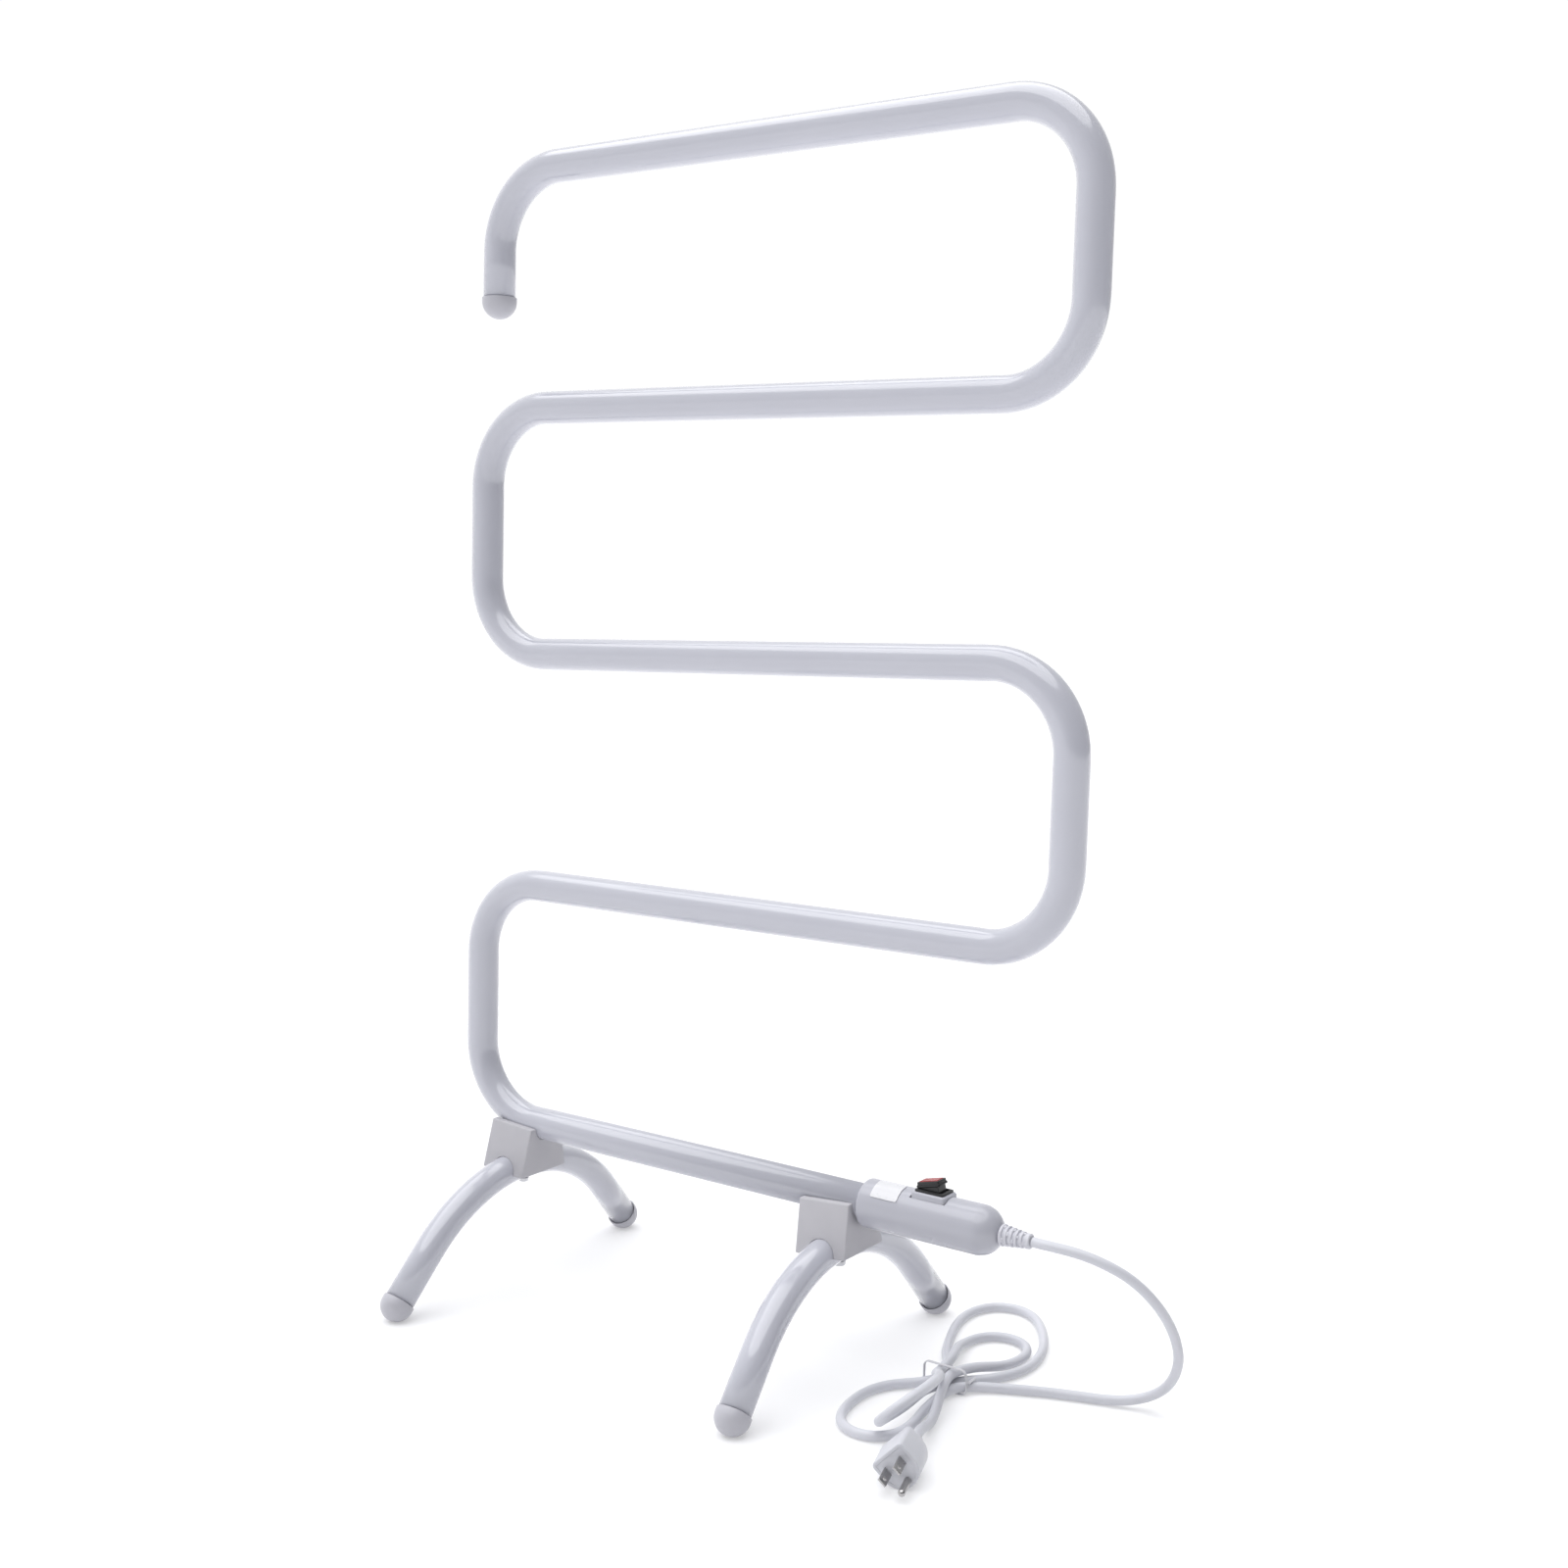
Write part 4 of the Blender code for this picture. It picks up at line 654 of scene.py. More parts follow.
def swept_tube(name, line, side, radius, sides):
    """The mesh of a steel tube: a swept skin, given its wall thickness inward."""
    tube = bpy.data.objects.new(name, as_mesh(name, swept(line, side, radius, sides), 60))
    solid = tube.modifiers.new("wall", "SOLIDIFY")
    solid.thickness = TUBE_WALL
    solid.offset = -1.0
    return settled(tube)


def settled(target, *steps):
    """The object's mesh after its modifiers and Boolean (operation, cutter) steps."""
    scene.collection.objects.link(target)
    for operation, cutter in steps:
        scene.collection.objects.link(cutter)
        modifier = target.modifiers.new(cutter.name, "BOOLEAN")
        modifier.operation = operation
        modifier.object = cutter
        modifier.solver = "EXACT"
    view = bpy.context.evaluated_depsgraph_get()
    mesh = bpy.data.meshes.new_from_object(target.evaluated_get(view))
    mesh.name = target.name
    for used in (target, *(cutter for _, cutter in steps)):
        bpy.data.objects.remove(used)
    return mesh


powder_coat = Finish("gloss_powder_coat", (0.470, 0.475, 0.535), (0.512, 0.517, 0.577),
                     0.10, (0.16, 0.24), Coat_Weight=0.90, Coat_Roughness=0.08)
powder_coat.relief(0.0060, 2, 0.000035)
powder_coat.relief(0.0016, 2, 0.000009)

bar_heights = [bar_axis]
for pitch in BAR_PITCHES:
    bar_heights.append(bar_heights[-1] + pitch)
hook_dome = Vector((HOOK_X, 0, bar_heights[-1] - HOOK_DROP))
corners = [hook_dome + (AIR - CAP_SEAT) * up, (HOOK_X, 0, bar_heights[-1])]
for bar, side in ((4, 1), (3, 1), (3, -1), (2, -1), (2, 1), (1, 1), (1, -1), (0, -1)):
    rise = side * HALF_SPACING * math.tan(math.radians(BAR_SLOPES[bar]))
    corners.append((side * HALF_SPACING, 0, bar_heights[bar] + rise))
corners.append((TUBE_END, 0, bar_axis))
rack = swept_tube("coated_tube", bent_line(corners), Vector((0, 1, 0)), TUBE_R, TUBE_SIDES)
add_piece("coated_tube", rack, powder_coat, ["rack_tube"])


# Hook cap --------------------------------------------------------------------
# A polyethylene cap pushed over the tube's upper end: a short sleeve with a rounded
# lip, closed by a half sphere.

CAP_WALL = 0.0008
CAP_SKIRT = 0.0030
CAP_LIP = 0.00045


def along(axis, origin):
    """A frame at origin whose Z axis points along axis."""
    turn = Vector((0, 0, 1)).rotation_difference(Vector(axis))
    return Matrix.Translation(origin) @ turn.to_matrix().to_4x4()


def cap(tube_radius):
    """An end cap with its dome's centre at height 0 and its dome up."""
    bore = tube_radius + AIR
    outer = bore + CAP_WALL
    profile = [(0, CAP_SEAT), (bore, CAP_SEAT), (bore, -CAP_SKIRT)]
    profile += arc((outer - CAP_LIP, -CAP_SKIRT + CAP_LIP), CAP_LIP, -math.pi / 2, 0, 4)
    profile += arc((0, 0), outer, 0, math.pi / 2, 20)
    profile[-1] = (0, outer)
    return profile


cap_plastic = Finish("cap_polyethylene", (0.450, 0.446, 0.490), (0.495, 0.491, 0.535),
                     0.020, (0.34, 0.44), Coat_Weight=0.10, Coat_Roughness=0.2)
cap_plastic.relief(0.0012, 3, 0.000010)
add_solid("hook_cap", turned(cap(TUBE_R), 56, along((0, 0, -1), hook_dome)), cap_plastic,
          ["hook_end_cap"])


# Feet ------------------------------------------------------------------------
# Two steel tubes rolled into arches and coated like the rack, leaning a few degrees
# apart.  Each end has a pushed-on cap that has worn a small flat on the floor.

FOOT_R = 0.0117
ARCH_RADIUS = 0.140
LEG_SLOPE = math.radians(48.0)
FOOT_REACH = 0.1345
FOOT_SPLAY = math.radians(4.0)
SADDLE_BRIDGE = 0.0118          # between foot and bar
BAR_OVER_FOOT = FOOT_R + SADDLE_BRIDGE + TUBE_R
FOOT_APEX = bar_axis / math.cos(FOOT_SPLAY) - BAR_OVER_FOOT
FOOT_PLACES = {"left": (-0.2192, FOOT_SPLAY), "right": (0.0985, -FOOT_SPLAY)}
DOME_HEIGHT = 0.0122
FOOT_ARCH_STEPS = 40
FOOT_SIDES = 40


def foot_line():
    """The foot's centre line in its own frame, from front to back."""
    leg_top = ARCH_RADIUS * math.sin(LEG_SLOPE)
    run = FOOT_REACH - leg_top + (CAP_SEAT - AIR) * math.cos(LEG_SLOPE)
    start = math.pi / 2 + LEG_SLOPE
    bend = arc((0.0, FOOT_APEX - ARCH_RADIUS), ARCH_RADIUS, start, math.pi - start,
               FOOT_ARCH_STEPS)
    drop = run * math.tan(LEG_SLOPE)
    front_end = (bend[0][0] - run, bend[0][1] - drop)
    back_end = (bend[-1][0] + run, bend[-1][1] - drop)
    return [(Vector((0, y, z)), 0.0) for y, z in [front_end, *bend, back_end]]


leans = {}
for name, (x, splay) in FOOT_PLACES.items():
    lean = Matrix.Translation((x, 0, 0)) @ Matrix.Rotation(splay, 4, "Y")
    leans[name] = lean
    mesh = swept_tube(f"foot_{name}", foot_line(), Vector((1, 0, 0)), FOOT_R, FOOT_SIDES)
    mesh.transform(lean)
    add_piece(f"foot_{name}", mesh, powder_coat, [f"foot_tube_{name}"])
    for place, side in (("front", -1), ("back", 1)):
        leg = Vector((0, side * math.cos(LEG_SLOPE), -math.sin(LEG_SLOPE)))
        dome = (0, side * FOOT_REACH, DOME_HEIGHT / math.cos(FOOT_SPLAY))
        bm = turned(cap(FOOT_R), 56, lean @ along(leg, dome))
        floor_cut = bmesh.ops.bisect_plane(
            bm, geom=bm.verts[:] + bm.edges[:] + bm.faces[:], plane_co=(0, 0, 0),
            plane_no=(0, 0, -1), clear_outer=True)
        worn = [part for part in floor_cut["geom_cut"]
                if isinstance(part, bmesh.types.BMEdge)]
        bmesh.ops.holes_fill(bm, edges=worn)
        add_solid(f"foot_end_{name}_{place}", bm, cap_plastic,
                  [f"foot_cap_{name}_{place}"])


# Saddles ---------------------------------------------------------------------
# Grey-white nylon mouldings, matt from a spark-eroded mould.  Each cradles the lowest
# bar in a trough, straddles its foot, and is held by one screw from below.

SADDLE_LENGTH = 0.042
SADDLE_TOP = 0.036
SADDLE_BASE = 0.052
SADDLE_EDGE = 0.0011
SADDLE_UNDER = 0.0025           # below the foot's axis
TROUGH_RISE = 0.03              # of the cutting bed over the bar's axis
TROUGH_REACH = 0.04             # of the cutting bed each way

saddle_nylon = Finish("saddle_nylon", (0.450, 0.443, 0.474), (0.495, 0.488, 0.519), 0.018,
                      (0.50, 0.60), Specular_IOR_Level=0.4)
saddle_nylon.relief(0.00045, 3, 0.000022)
saddle_nylon.relief(0.0070, 1, 0.00006)


def extruded(points, vec):
    """A flat outline pulled along a vector into a closed block."""
    bm = bmesh.new()
    face = bm.faces.new([bm.verts.new(point) for point in points])
    pull(bm, bmesh.ops.extrude_face_region(bm, geom=[face]), vec)
    bmesh.ops.recalc_face_normals(bm, faces=bm.faces)
    return bm


def tool(name, bm):
    """An unlinked object that a Boolean step uses up."""
    return bpy.data.objects.new(name, as_mesh(name, bm))


for name, (x, splay) in FOOT_PLACES.items():
    top = FOOT_APEX + BAR_OVER_FOOT
    base = FOOT_APEX - SADDLE_UNDER
    outline = ((SADDLE_BASE / 2, base), (SADDLE_TOP / 2, top), (-SADDLE_TOP / 2, top),
               (-SADDLE_BASE / 2, base))
    bm = extruded([(-SADDLE_LENGTH / 2, y, z) for y, z in outline], (SADDLE_LENGTH, 0, 0))
    bmesh.ops.bevel(bm, geom=bm.edges[:], offset=SADDLE_EDGE, offset_type="OFFSET",
                    segments=5, profile=0.5, affect="EDGES", material=-1)
    bmesh.ops.transform(bm, matrix=leans[name], verts=bm.verts)
    block = tool(f"saddle_block_{name}", bm)
    channel = tool(f"foot_channel_{name}",
                   swept(foot_line(), Vector((1, 0, 0)), FOOT_R + AIR, 72, cap_ends=True))
    channel.data.transform(leans[name])
    radius = TUBE_R + AIR
    trough = arc((0, bar_axis), radius, math.pi, math.tau, 36)
    trough += [(radius, bar_axis + TROUGH_RISE), (-radius, bar_axis + TROUGH_RISE)]
    start = x + top * math.sin(splay) - TROUGH_REACH
    bar_bed = tool(f"bar_bed_{name}", extruded([(start, y, z) for y, z in trough],
                                               (2 * TROUGH_REACH, 0, 0)))
    mesh = settled(block, ("DIFFERENCE", channel), ("DIFFERENCE", bar_bed))
    add_piece(f"saddle_moulding_{name}", shaded(mesh, 30), saddle_nylon,
              [f"saddle_{name}"])


# Saddle screws ---------------------------------------------------------------
# Zinc-plated pan-head screws with a cross recess, driven up through each foot's crown
# into the saddle.

SCREW_HEAD_R = 0.0044
SCREW_HEAD = 0.0032
SCREW_R = 0.0025
SCREW_CROWN = 0.0013            # rounding of the pan head
SCREW_REACH = 0.0083            # of the tip above the foot
SCREW_TIP = 0.0015              # length of the taper
CROSS = (0.0022, 0.00055)       # half length and half width of a slot
CROSS_DEPTH = 0.0016
CROSS_RISE = 0.001              # of the cutting block past the head

zinc_plate = metal("zinc_plate", (0.50, 0.50, 0.52), (0.66, 0.66, 0.68), (0.28, 0.42),
                   0.0006)
head_top = FOOT_APEX - FOOT_R - AIR - SCREW_HEAD_R * math.tan(FOOT_SPLAY)
screw_tip = FOOT_APEX + FOOT_R + SCREW_REACH
head_low = head_top - SCREW_HEAD
profile = [(0, screw_tip), (SCREW_R * 0.6, screw_tip), (SCREW_R, screw_tip - SCREW_TIP),
           (SCREW_R, head_top), (SCREW_HEAD_R, head_top)]
profile += arc((SCREW_HEAD_R - SCREW_CROWN, head_low + SCREW_CROWN), SCREW_CROWN, 0,
               -math.pi / 2, 6)
profile.append((0, head_low))
for name, lean in leans.items():
    steps = []
    for i, (long_half, wide_half) in enumerate((CROSS, CROSS[::-1])):
        outline = [(sx * long_half, sy * wide_half, head_low - CROSS_RISE)
                   for sx, sy in ((-1, -1), (1, -1), (1, 1), (-1, 1))]
        slot = extruded(outline, (0, 0, CROSS_RISE + CROSS_DEPTH))
        steps.append(("DIFFERENCE", tool(f"cross_{name}_{i}", slot)))
    mesh = settled(tool(f"screw_{name}", turned(profile, 40)), *steps)
    mesh.transform(lean)
    add_piece(f"foot_screw_{name}", shaded(mesh, 35), zinc_plate,
              [f"saddle_screw_{name}"])


# Switch housing --------------------------------------------------------------
# Two gloss ABS shells round the tube's lower end, closed by a half sphere at the cord
# end.  They meet in a fine parting line below the tube, where two screws hold them.

HOUSING_R = 0.0175
HOUSING_WALL = 0.002
HOUSING_EDGE = 0.003
HOUSING_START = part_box("housing_upper")[0].x
DOME_CENTRE = housing_end - HOUSING_R
SEAM_HALF = 0.00015
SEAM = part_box("housing_lower")[1].z + SEAM_HALF
RELIEF_NECK_R = 0.0055
POST_R = 0.0028
SMALL_SCREW_R = 0.0013
SMALL_HEAD_R = 0.0026
SMALL_HEAD = 0.0018
SMALL_SCREW_REACH = 0.009       # above the seam
PAD_RIM = 0.0015                # of a pad round its screw's head
POST_PLACES = {"tube_end": TUBE_END + 0.0033, "cord_end": DOME_CENTRE - 0.010}
POST_TURN = math.radians(9)     # so that no edges of two tools line up
TOOL_PAST = 0.01                # of the cutting tools past the housing's ends
TOOL_REACH = 0.04               # and to its sides
BEZEL = (0.0275, 0.019, 0.0085)
switch_middle = sum(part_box("switch_bezel"), Vector()) / 2
bezel_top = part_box("switch_bezel")[1].z

housing_abs = Finish("gloss_abs", (0.415, 0.417, 0.468), (0.450, 0.452, 0.503), 0.045,
                     (0.20, 0.28), Coat_Weight=0.20, Coat_Roughness=0.12)
housing_abs.relief(0.0090, 2, 0.000040)
housing_abs.relief(0.0007, 2, 0.000003)

inner_r = HOUSING_R - HOUSING_WALL
tube_hole = TUBE_R + AIR
relief_hole = RELIEF_NECK_R + AIR
shell_profile = [(tube_hole, HOUSING_START)]
shell_profile += arc((HOUSING_R - HOUSING_EDGE, HOUSING_START + HOUSING_EDGE), HOUSING_EDGE,
                     -math.pi / 2, 0, 10)
shell_profile += arc((0, DOME_CENTRE), HOUSING_R, 0, math.acos(relief_hole / HOUSING_R), 24)
shell_profile += arc((0, DOME_CENTRE), inner_r, math.acos(relief_hole / inner_r), 0, 12)
shell_profile += [(inner_r, HOUSING_START + HOUSING_WALL),
                  (tube_hole, HOUSING_START + HOUSING_WALL)]
shell_place = along((1, 0, 0), (0, 0, bar_axis))


def block(low, high):
    """A plain block between two corners, for cutting."""
    return extruded([(low[0], low[1], low[2]), (high[0], low[1], low[2]),
                     (high[0], high[1], low[2]), (low[0], high[1], low[2])],
                    (0, 0, high[2] - low[2]))


def room(name, low, high):
    """The step that keeps what lies between two heights."""
    return ("INTERSECT",
            tool(name, block((HOUSING_START - TOOL_PAST, -TOOL_REACH, low),
                             (housing_end + TOOL_PAST, TOOL_REACH, high))))


def at_posts(operation, name, profile):
    """The steps that add or cut the same turned shape at both screws."""
    steps = []
    for place, x in POST_PLACES.items():
        frame_there = Matrix.Translation((x, 0, 0)) @ Matrix.Rotation(POST_TURN, 4, "Z")
        steps.append((operation, tool(f"{name}_{place}", turned(profile, 24, frame_there))))
    return steps


ceiling = bar_axis + inner_r + HOUSING_WALL / 2
ground = bar_axis - inner_r - HOUSING_WALL / 2
outside = bar_axis - HOUSING_R
hole = SMALL_SCREW_R + AIR
hole_end = SEAM + SMALL_SCREW_REACH + AIR
post = ((hole, SEAM + AIR), (POST_R, SEAM + AIR), (POST_R, ceiling), (0, ceiling),
        (0, hole_end), (hole, hole_end))
pad_r = SMALL_HEAD_R + PAD_RIM
pad = ((0, ground), (pad_r, ground), (pad_r, SEAM - AIR), (0, SEAM - AIR))
head_way = SMALL_HEAD_R + AIR
head_seat = outside + SMALL_HEAD + AIR
screw_way = ((0, outside - TOOL_PAST), (head_way, outside - TOOL_PAST),
             (head_way, head_seat), (hole, head_seat), (hole, SEAM + TOOL_PAST),
             (0, SEAM + TOOL_PAST))
seat_x, seat_y = BEZEL[0] / 2 + AIR, BEZEL[1] / 2 + AIR
bezel_seat = block((switch_middle.x - seat_x, -seat_y, bezel_top - BEZEL[2] - AIR),
                   (switch_middle.x + seat_x, seat_y, bezel_top + TOOL_PAST))
shells = {
    "upper_shell": [room("upper_room", SEAM + SEAM_HALF, bar_axis + TOOL_REACH),
                    *at_posts("UNION", "post", post),
                    ("DIFFERENCE", tool("bezel_seat", bezel_seat))],
    "lower_cover": [room("lower_room", bar_axis - TOOL_REACH, SEAM - SEAM_HALF),
                    *at_posts("UNION", "pad", pad),
                    *at_posts("DIFFERENCE", "screw_way", screw_way)],
}
for name, steps in shells.items():
    mesh = settled(tool(name, turned(shell_profile, 96, shell_place)), *steps)
    add_piece(name, shaded(mesh, 30), housing_abs,
              [f"housing_{name.partition('_')[0]}"])


# Rating label ----------------------------------------------------------------
# A laminated paper sticker, left blank, wrapped on the housing's front and top beside
# the switch.

LABEL_START = 0.0110            # from the housing's tube end
LABEL_LENGTH = 0.0215
LABEL_FROM = math.radians(145.0)
LABEL_TO = math.radians(88.0)
LABEL_CORNER = 0.0013
LABEL_THICKNESS = 0.0003

label_film = Finish("label_laminate", (0.66, 0.66, 0.685), (0.71, 0.71, 0.735), 0.006,
                    (0.26, 0.34), Coat_Weight=0.25, Coat_Roughness=0.15)
label_film.relief(0.0009, 3, 0.000006)
label_r = HOUSING_R + AIR
label_width = label_r * (LABEL_FROM - LABEL_TO)
bm = bmesh.new()
bmesh.ops.create_grid(bm, x_segments=10, y_segments=12, size=0.5)
bmesh.ops.scale(bm, vec=(LABEL_LENGTH, label_width, 1), verts=bm.verts)
outer_corners = [v for v in bm.verts if len(v.link_edges) == 2]
bmesh.ops.bevel(bm, geom=outer_corners, offset=LABEL_CORNER, offset_type="OFFSET",
                segments=5, profile=0.5, affect="VERTICES", material=-1)
for vert in bm.verts:
    share = vert.co.y / label_width + 0.5
    angle = LABEL_TO + (LABEL_FROM - LABEL_TO) * share
    vert.co = (HOUSING_START + LABEL_START + LABEL_LENGTH / 2 + vert.co.x,
               label_r * math.cos(angle), bar_axis + label_r * math.sin(angle))
bmesh.ops.recalc_face_normals(bm, faces=bm.faces)
if sum(face.normal.z for face in bm.faces) < 0:
    bmesh.ops.reverse_faces(bm, faces=bm.faces)
bmesh.ops.solidify(bm, geom=bm.faces[:], thickness=-LABEL_THICKNESS)
add_solid("blank_label", bm, label_film, ["rating_label"], sharp=40)


# Strain relief ---------------------------------------------------------------
# A tapered sleeve moulded in soft PVC on the cord.  Five rings are parted by staggered
# slots, so that it bends in an even curve, and it ends in a plain collar.

RELIEF_R = 0.0076
RELIEF_TIP_R = 0.0053
RELIEF_LENGTH = 0.022
RELIEF_FLANGE_R = 0.0080
RELIEF_FLANGE = 0.002
RELIEF_SEAT = 0.0006
RELIEF_SLOTS = 5
RELIEF_DEPTH = 0.0014
RELIEF_COLLAR = 0.0035
RELIEF_STEPS = 64
RELIEF_WEBS = 4                 # between the slots of one row
RELIEF_WEB_SHARE = 0.26         # of the way round, for each web and its slot
RELIEF_WEB_SINK = 0.0002        # of a web below the rings beside it
RELIEF_LIP = 0.0006             # rounding of the collar
RELIEF_EDGE = 0.0003            # rounding of a ring
RELIEF_RING = 0.50              # end of a ring, in shares of the pitch
RELIEF_SLOT = (0.62, 0.96)      # a slot's floor, likewise

relief_face = math.sqrt((inner_r - AIR) ** 2 - RELIEF_FLANGE_R ** 2) - RELIEF_FLANGE
shoulder = HOUSING_R - RELIEF_SEAT + AIR
pitch = (RELIEF_LENGTH - RELIEF_COLLAR) / RELIEF_SLOTS
profile = [(0, relief_face), (RELIEF_FLANGE_R, relief_face),
           (RELIEF_FLANGE_R, relief_face + RELIEF_FLANGE),
           (RELIEF_NECK_R, relief_face + RELIEF_FLANGE), (RELIEF_NECK_R, shoulder - AIR)]
slot_rows = []
for i in range(RELIEF_SLOTS):
    low = shoulder + pitch * i
    radius, after = (RELIEF_R + (RELIEF_TIP_R - RELIEF_R) * row / RELIEF_SLOTS
                     for row in (i, i + 1))
    profile += [(radius - RELIEF_EDGE, low), (radius, low + RELIEF_EDGE),
                (radius, low + pitch * RELIEF_RING),
                (radius - RELIEF_EDGE, low + pitch * (RELIEF_RING + 0.08))]
    profile += [(radius - RELIEF_DEPTH, low + pitch * share) for share in RELIEF_SLOT]
    slot_rows.append((low + pitch * 0.55, low + pitch * 1.01,
                      (radius + after) / 2 - RELIEF_WEB_SINK))
tip = shoulder + RELIEF_LENGTH
profile += [(RELIEF_TIP_R - RELIEF_WEB_SINK, tip - RELIEF_COLLAR),
            (RELIEF_TIP_R, tip - RELIEF_COLLAR + RELIEF_EDGE),
            (RELIEF_TIP_R, tip - RELIEF_LIP), (RELIEF_TIP_R - RELIEF_LIP, tip), (0, tip)]
bm = turned(profile, RELIEF_STEPS)
for vert in bm.verts:
    reach = math.hypot(vert.co.x, vert.co.y)
    for row, (low, high, web_r) in enumerate(slot_rows):
        if low < vert.co.z < high and 0.001 < reach < web_r - 0.0005:
            turns = math.atan2(vert.co.y, vert.co.x) / math.tau
            if (turns * RELIEF_WEBS + row / 2) % 1 < RELIEF_WEB_SHARE:
                vert.co.x *= web_r / reach
                vert.co.y *= web_r / reach
bmesh.ops.transform(bm, matrix=along((1, 0, 0), (DOME_CENTRE, 0, bar_axis)), verts=bm.verts)
sleeve_pvc = soft_pvc("sleeve_white_pvc", (0.56, 0.56, 0.61), (0.62, 0.62, 0.67),
                      (0.36, 0.46))
add_solid("cord_sleeve", bm, sleeve_pvc, ["strain_relief"], sharp=30)


# Switch frame ----------------------------------------------------------------
# A raised ABS collar round the switch, with cut corners and a chamfered rim, moulded to
# stand on the housing's crown.

FRAME_CORNER = 0.0026
FRAME_CHAMFER = 0.0010
FRAME_OPENING = (0.0202, 0.0142)


def rounded_rectangle(half_x, half_y, corner, height, steps):
    """A rectangle with round corners, as points around Z at a height."""
    points = []
    for sx, sy, start in ((1, 1, 0), (-1, 1, 1), (-1, -1, 2), (1, -1, 3)):
        centre = (sx * (half_x - corner), sy * (half_y - corner))
        points += [(x, y, height) for x, y in
                   arc(centre, corner, start * math.pi / 2, (start + 1) * math.pi / 2,
                       steps)]
    return points


def stacked(rows, closed=False, steps=6):
    """Walls through rounded rectangles, one for each half size, inset, corner and
    height."""
    return loft([rounded_rectangle(half[0] - inset, half[1] - inset, corner, height, steps)
                 for half, inset, corner, height in rows], closed)


frame_half = (BEZEL[0] / 2, BEZEL[1] / 2)
mouth_half = (FRAME_OPENING[0] / 2, FRAME_OPENING[1] / 2)
frame_low = bezel_top - BEZEL[2]
bm = stacked([
    (frame_half, 0.0, FRAME_CORNER, frame_low),
    (frame_half, 0.0, FRAME_CORNER, bezel_top - FRAME_CHAMFER * 1.3),
    (frame_half, FRAME_CHAMFER * 0.15, FRAME_CORNER, bezel_top - FRAME_CHAMFER),
    (frame_half, FRAME_CHAMFER * 0.85, FRAME_CORNER * 0.85,
     bezel_top - FRAME_CHAMFER * 0.15),
    (frame_half, FRAME_CHAMFER * 1.3, FRAME_CORNER * 0.8, bezel_top),
    (mouth_half, -0.0002, 0.0005, bezel_top),
    (mouth_half, 0.0, 0.0004, bezel_top - 0.0002),
    (mouth_half, 0.0, 0.0004, frame_low),
], closed=True, steps=3)
bmesh.ops.translate(bm, vec=(switch_middle.x, 0, 0), verts=bm.verts)
add_solid("switch_frame", bm, housing_abs, ["switch_bezel"], sharp=40)


# Switch boot -----------------------------------------------------------------
# A black rubber seal clamped on the frame: a stepped flange with an open mouth that the
# rocker moves in.

BOOT_HALF = (0.0115, 0.00825)
BOOT_MOUTH = (0.0092, 0.0060)
BOOT_HEIGHT = 0.0013

black_rubber = Finish("black_rubber", (0.012, 0.012, 0.013), (0.022, 0.022, 0.024), 0.004,
                      (0.42, 0.56), Specular_IOR_Level=0.5)
black_rubber.relief(0.00035, 3, 0.000012)

boot_low = bezel_top + AIR
boot_high = boot_low + BOOT_HEIGHT
bm = stacked([
    (BOOT_HALF, 0.0, 0.0018, boot_low),
    (BOOT_HALF, 0.0, 0.0018, boot_high - 0.0006),
    (BOOT_HALF, 0.0001, 0.0017, boot_high - 0.0003),
    (BOOT_HALF, 0.0004, 0.0016, boot_high - 0.0002),
    (BOOT_HALF, 0.0010, 0.0014, boot_high - 0.0001),
    (BOOT_HALF, 0.0012, 0.0012, boot_high),
    (BOOT_MOUTH, -0.0002, 0.0011, boot_high),
    (BOOT_MOUTH, 0.0, 0.0010, boot_high - 0.0002),
    (BOOT_MOUTH, 0.0, 0.0010, boot_low),
], closed=True)
bmesh.ops.translate(bm, vec=(switch_middle.x, 0, 0), verts=bm.verts)
add_solid("switch_boot", bm, black_rubber, ["rocker_boot"], sharp=40)


# Rocker and lamp lens --------------------------------------------------------
# A black polycarbonate rocker on a steel pin, stepped in towards its top, with a
# translucent red lens set in it.  It rests pushed down on the tube side.

ROCKER_TILT = math.radians(14.0)
PIVOT_DROP = 0.0026
PIN_BORE_R = 0.0014
NECK_HALF = (0.0076, 0.0055)
LEDGE_HALF = (0.0093, 0.0064)
CROWN_HALF = (0.0087, 0.0058)
LENS_HALF = (0.0074, 0.0046)
ROCKER_FOOT = -0.0030
ROCKER_SHOULDER = 0.0070
ROCKER_LEDGE = 0.0085
ROCKER_HEIGHT = 0.0106
LENS_SINK = 0.0009
LENS_RISE = 0.0004

rocker_black = Finish("rocker_polycarbonate", (0.010, 0.010, 0.011), (0.018, 0.018, 0.020),
                      0.006, (0.26, 0.38))
rocker_black.relief(0.00030, 3, 0.000008)
pivot = Vector((switch_middle.x, 0, bezel_top - PIVOT_DROP))
rocker_frame = Matrix.Translation(pivot) @ Matrix.Rotation(-ROCKER_TILT, 4, "Y")


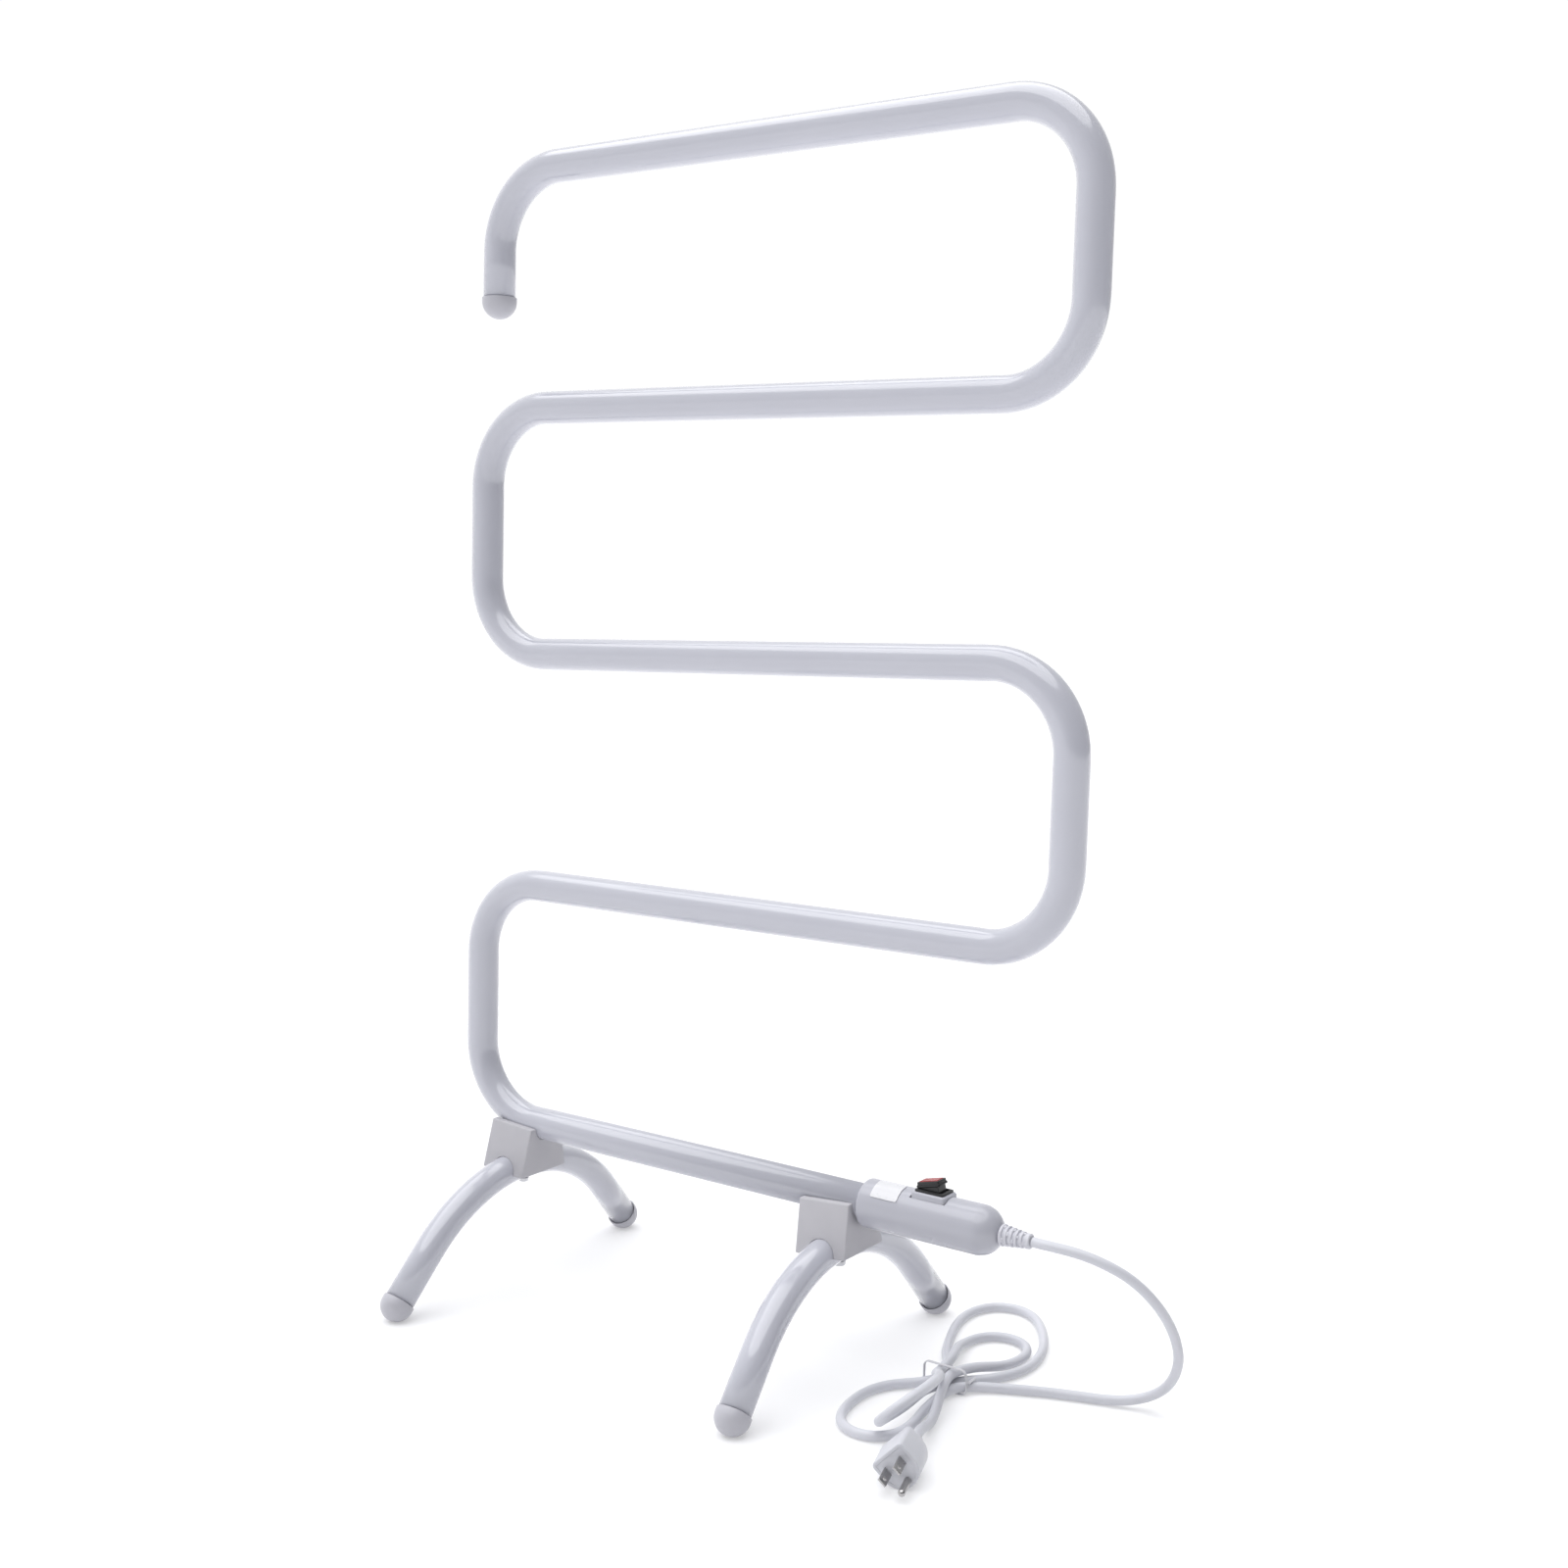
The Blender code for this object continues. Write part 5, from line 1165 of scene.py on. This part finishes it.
rocker_bm = stacked([
    (NECK_HALF, 0.0, 0.0006, ROCKER_FOOT),
    (NECK_HALF, 0.0, 0.0006, ROCKER_SHOULDER - 0.0006),
    (LEDGE_HALF, 0.0003, 0.0010, ROCKER_SHOULDER - 0.0001),
    (LEDGE_HALF, 0.0, 0.0012, ROCKER_SHOULDER + 0.0002),
    (LEDGE_HALF, 0.0, 0.0012, ROCKER_LEDGE - 0.0003),
    (LEDGE_HALF, 0.0002, 0.0011, ROCKER_LEDGE),
    (CROWN_HALF, 0.0, 0.0010, ROCKER_LEDGE + 0.0001),
    (CROWN_HALF, 0.0, 0.0010, ROCKER_HEIGHT - 0.0004),
    (CROWN_HALF, 0.0001, 0.0009, ROCKER_HEIGHT - 0.0001),
    (CROWN_HALF, 0.0004, 0.0008, ROCKER_HEIGHT),
    (LENS_HALF, -0.0002, 0.0006, ROCKER_HEIGHT),
    (LENS_HALF, -0.0001, 0.0006, ROCKER_HEIGHT - 0.0002),
    (LENS_HALF, -0.0001, 0.0006, ROCKER_HEIGHT - LENS_SINK - 0.0001),
])
bore_reach = NECK_HALF[1] * 2
bore = turned(((0, -bore_reach), (PIN_BORE_R, -bore_reach), (PIN_BORE_R, bore_reach),
               (0, bore_reach)), 32, along((0, 1, 0), (0, 0, 0)))
mesh = settled(tool("rocker_button", rocker_bm), ("DIFFERENCE", tool("pin_bore", bore)))
mesh.transform(rocker_frame)
add_piece("rocker_button", shaded(mesh, 40), rocker_black, ["rocker"],
          "rocker")

lens_red = Finish("red_lens", (0.24, 0.006, 0.009), (0.34, 0.010, 0.014), 0.005,
                  (0.22, 0.32), Specular_IOR_Level=0.25)
lens_red.relief(0.0012, 2, 0.000010)
lens_top = ROCKER_HEIGHT + LENS_RISE
bm = stacked([
    (LENS_HALF, 0.0, 0.0005, ROCKER_HEIGHT - LENS_SINK),
    (LENS_HALF, 0.0, 0.0005, ROCKER_HEIGHT + 0.0001),
    (LENS_HALF, 0.0002, 0.0005, lens_top - 0.0001),
    (LENS_HALF, 0.0006, 0.0005, lens_top),
    (LENS_HALF, 0.0016, 0.0005, lens_top - 0.00015),
])
bmesh.ops.transform(bm, matrix=rocker_frame, verts=bm.verts)
add_solid("lamp_lens", bm, lens_red, ["rocker_lens"], "rocker", sharp=40)


# Inside ----------------------------------------------------------------------
# The switch body, wiring, splices, cutout and screws keep their own shapes and take
# their finishes here.

switch_black = Finish("switch_nylon", (0.014, 0.014, 0.015), (0.024, 0.024, 0.026), 0.005,
                      (0.40, 0.50))
switch_black.relief(0.0004, 3, 0.000010)
brass = metal("brass", (0.52, 0.38, 0.17), (0.68, 0.52, 0.25), (0.24, 0.36), 0.0005)
heater_sheath = Finish("silicone_sheath", (0.34, 0.075, 0.06), (0.44, 0.11, 0.09), 0.010,
                       (0.50, 0.62))
heater_sheath.relief(0.0008, 2, 0.000020)
wire_sheath = Finish("wire_sheath", (0.15, 0.15, 0.17), (0.22, 0.22, 0.24), 0.004,
                     (0.42, 0.54))
wire_sheath.relief(0.0005, 2, 0.000010)
ceramic = Finish("glazed_steatite", (0.66, 0.62, 0.53), (0.78, 0.74, 0.66), 0.003,
                 (0.30, 0.44))
ceramic.relief(0.0006, 3, 0.000015)

kept = {
    switch_black: ("switch_body",),
    brass: ("switch_terminal_lamp", "switch_terminal_line", "switch_terminal_load",
            "earth_lug"),
    zinc_plate: ("rocker_pin", "crimp_live", "crimp_neutral", "earth_screw",
                 "housing_screw_tube_end", "housing_screw_cord_end"),
    heater_sheath: ("heating_cable",),
    wire_sheath: ("live_lead", "load_lead", "cutout_lead", "heater_lead_live",
                  "heater_lead_neutral", "neutral_lead", "earth_lead"),
    ceramic: ("thermal_cutout",),
}
for finish, names in kept.items():
    for name in names:
        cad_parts[name].material_slots[0].material = finish.material
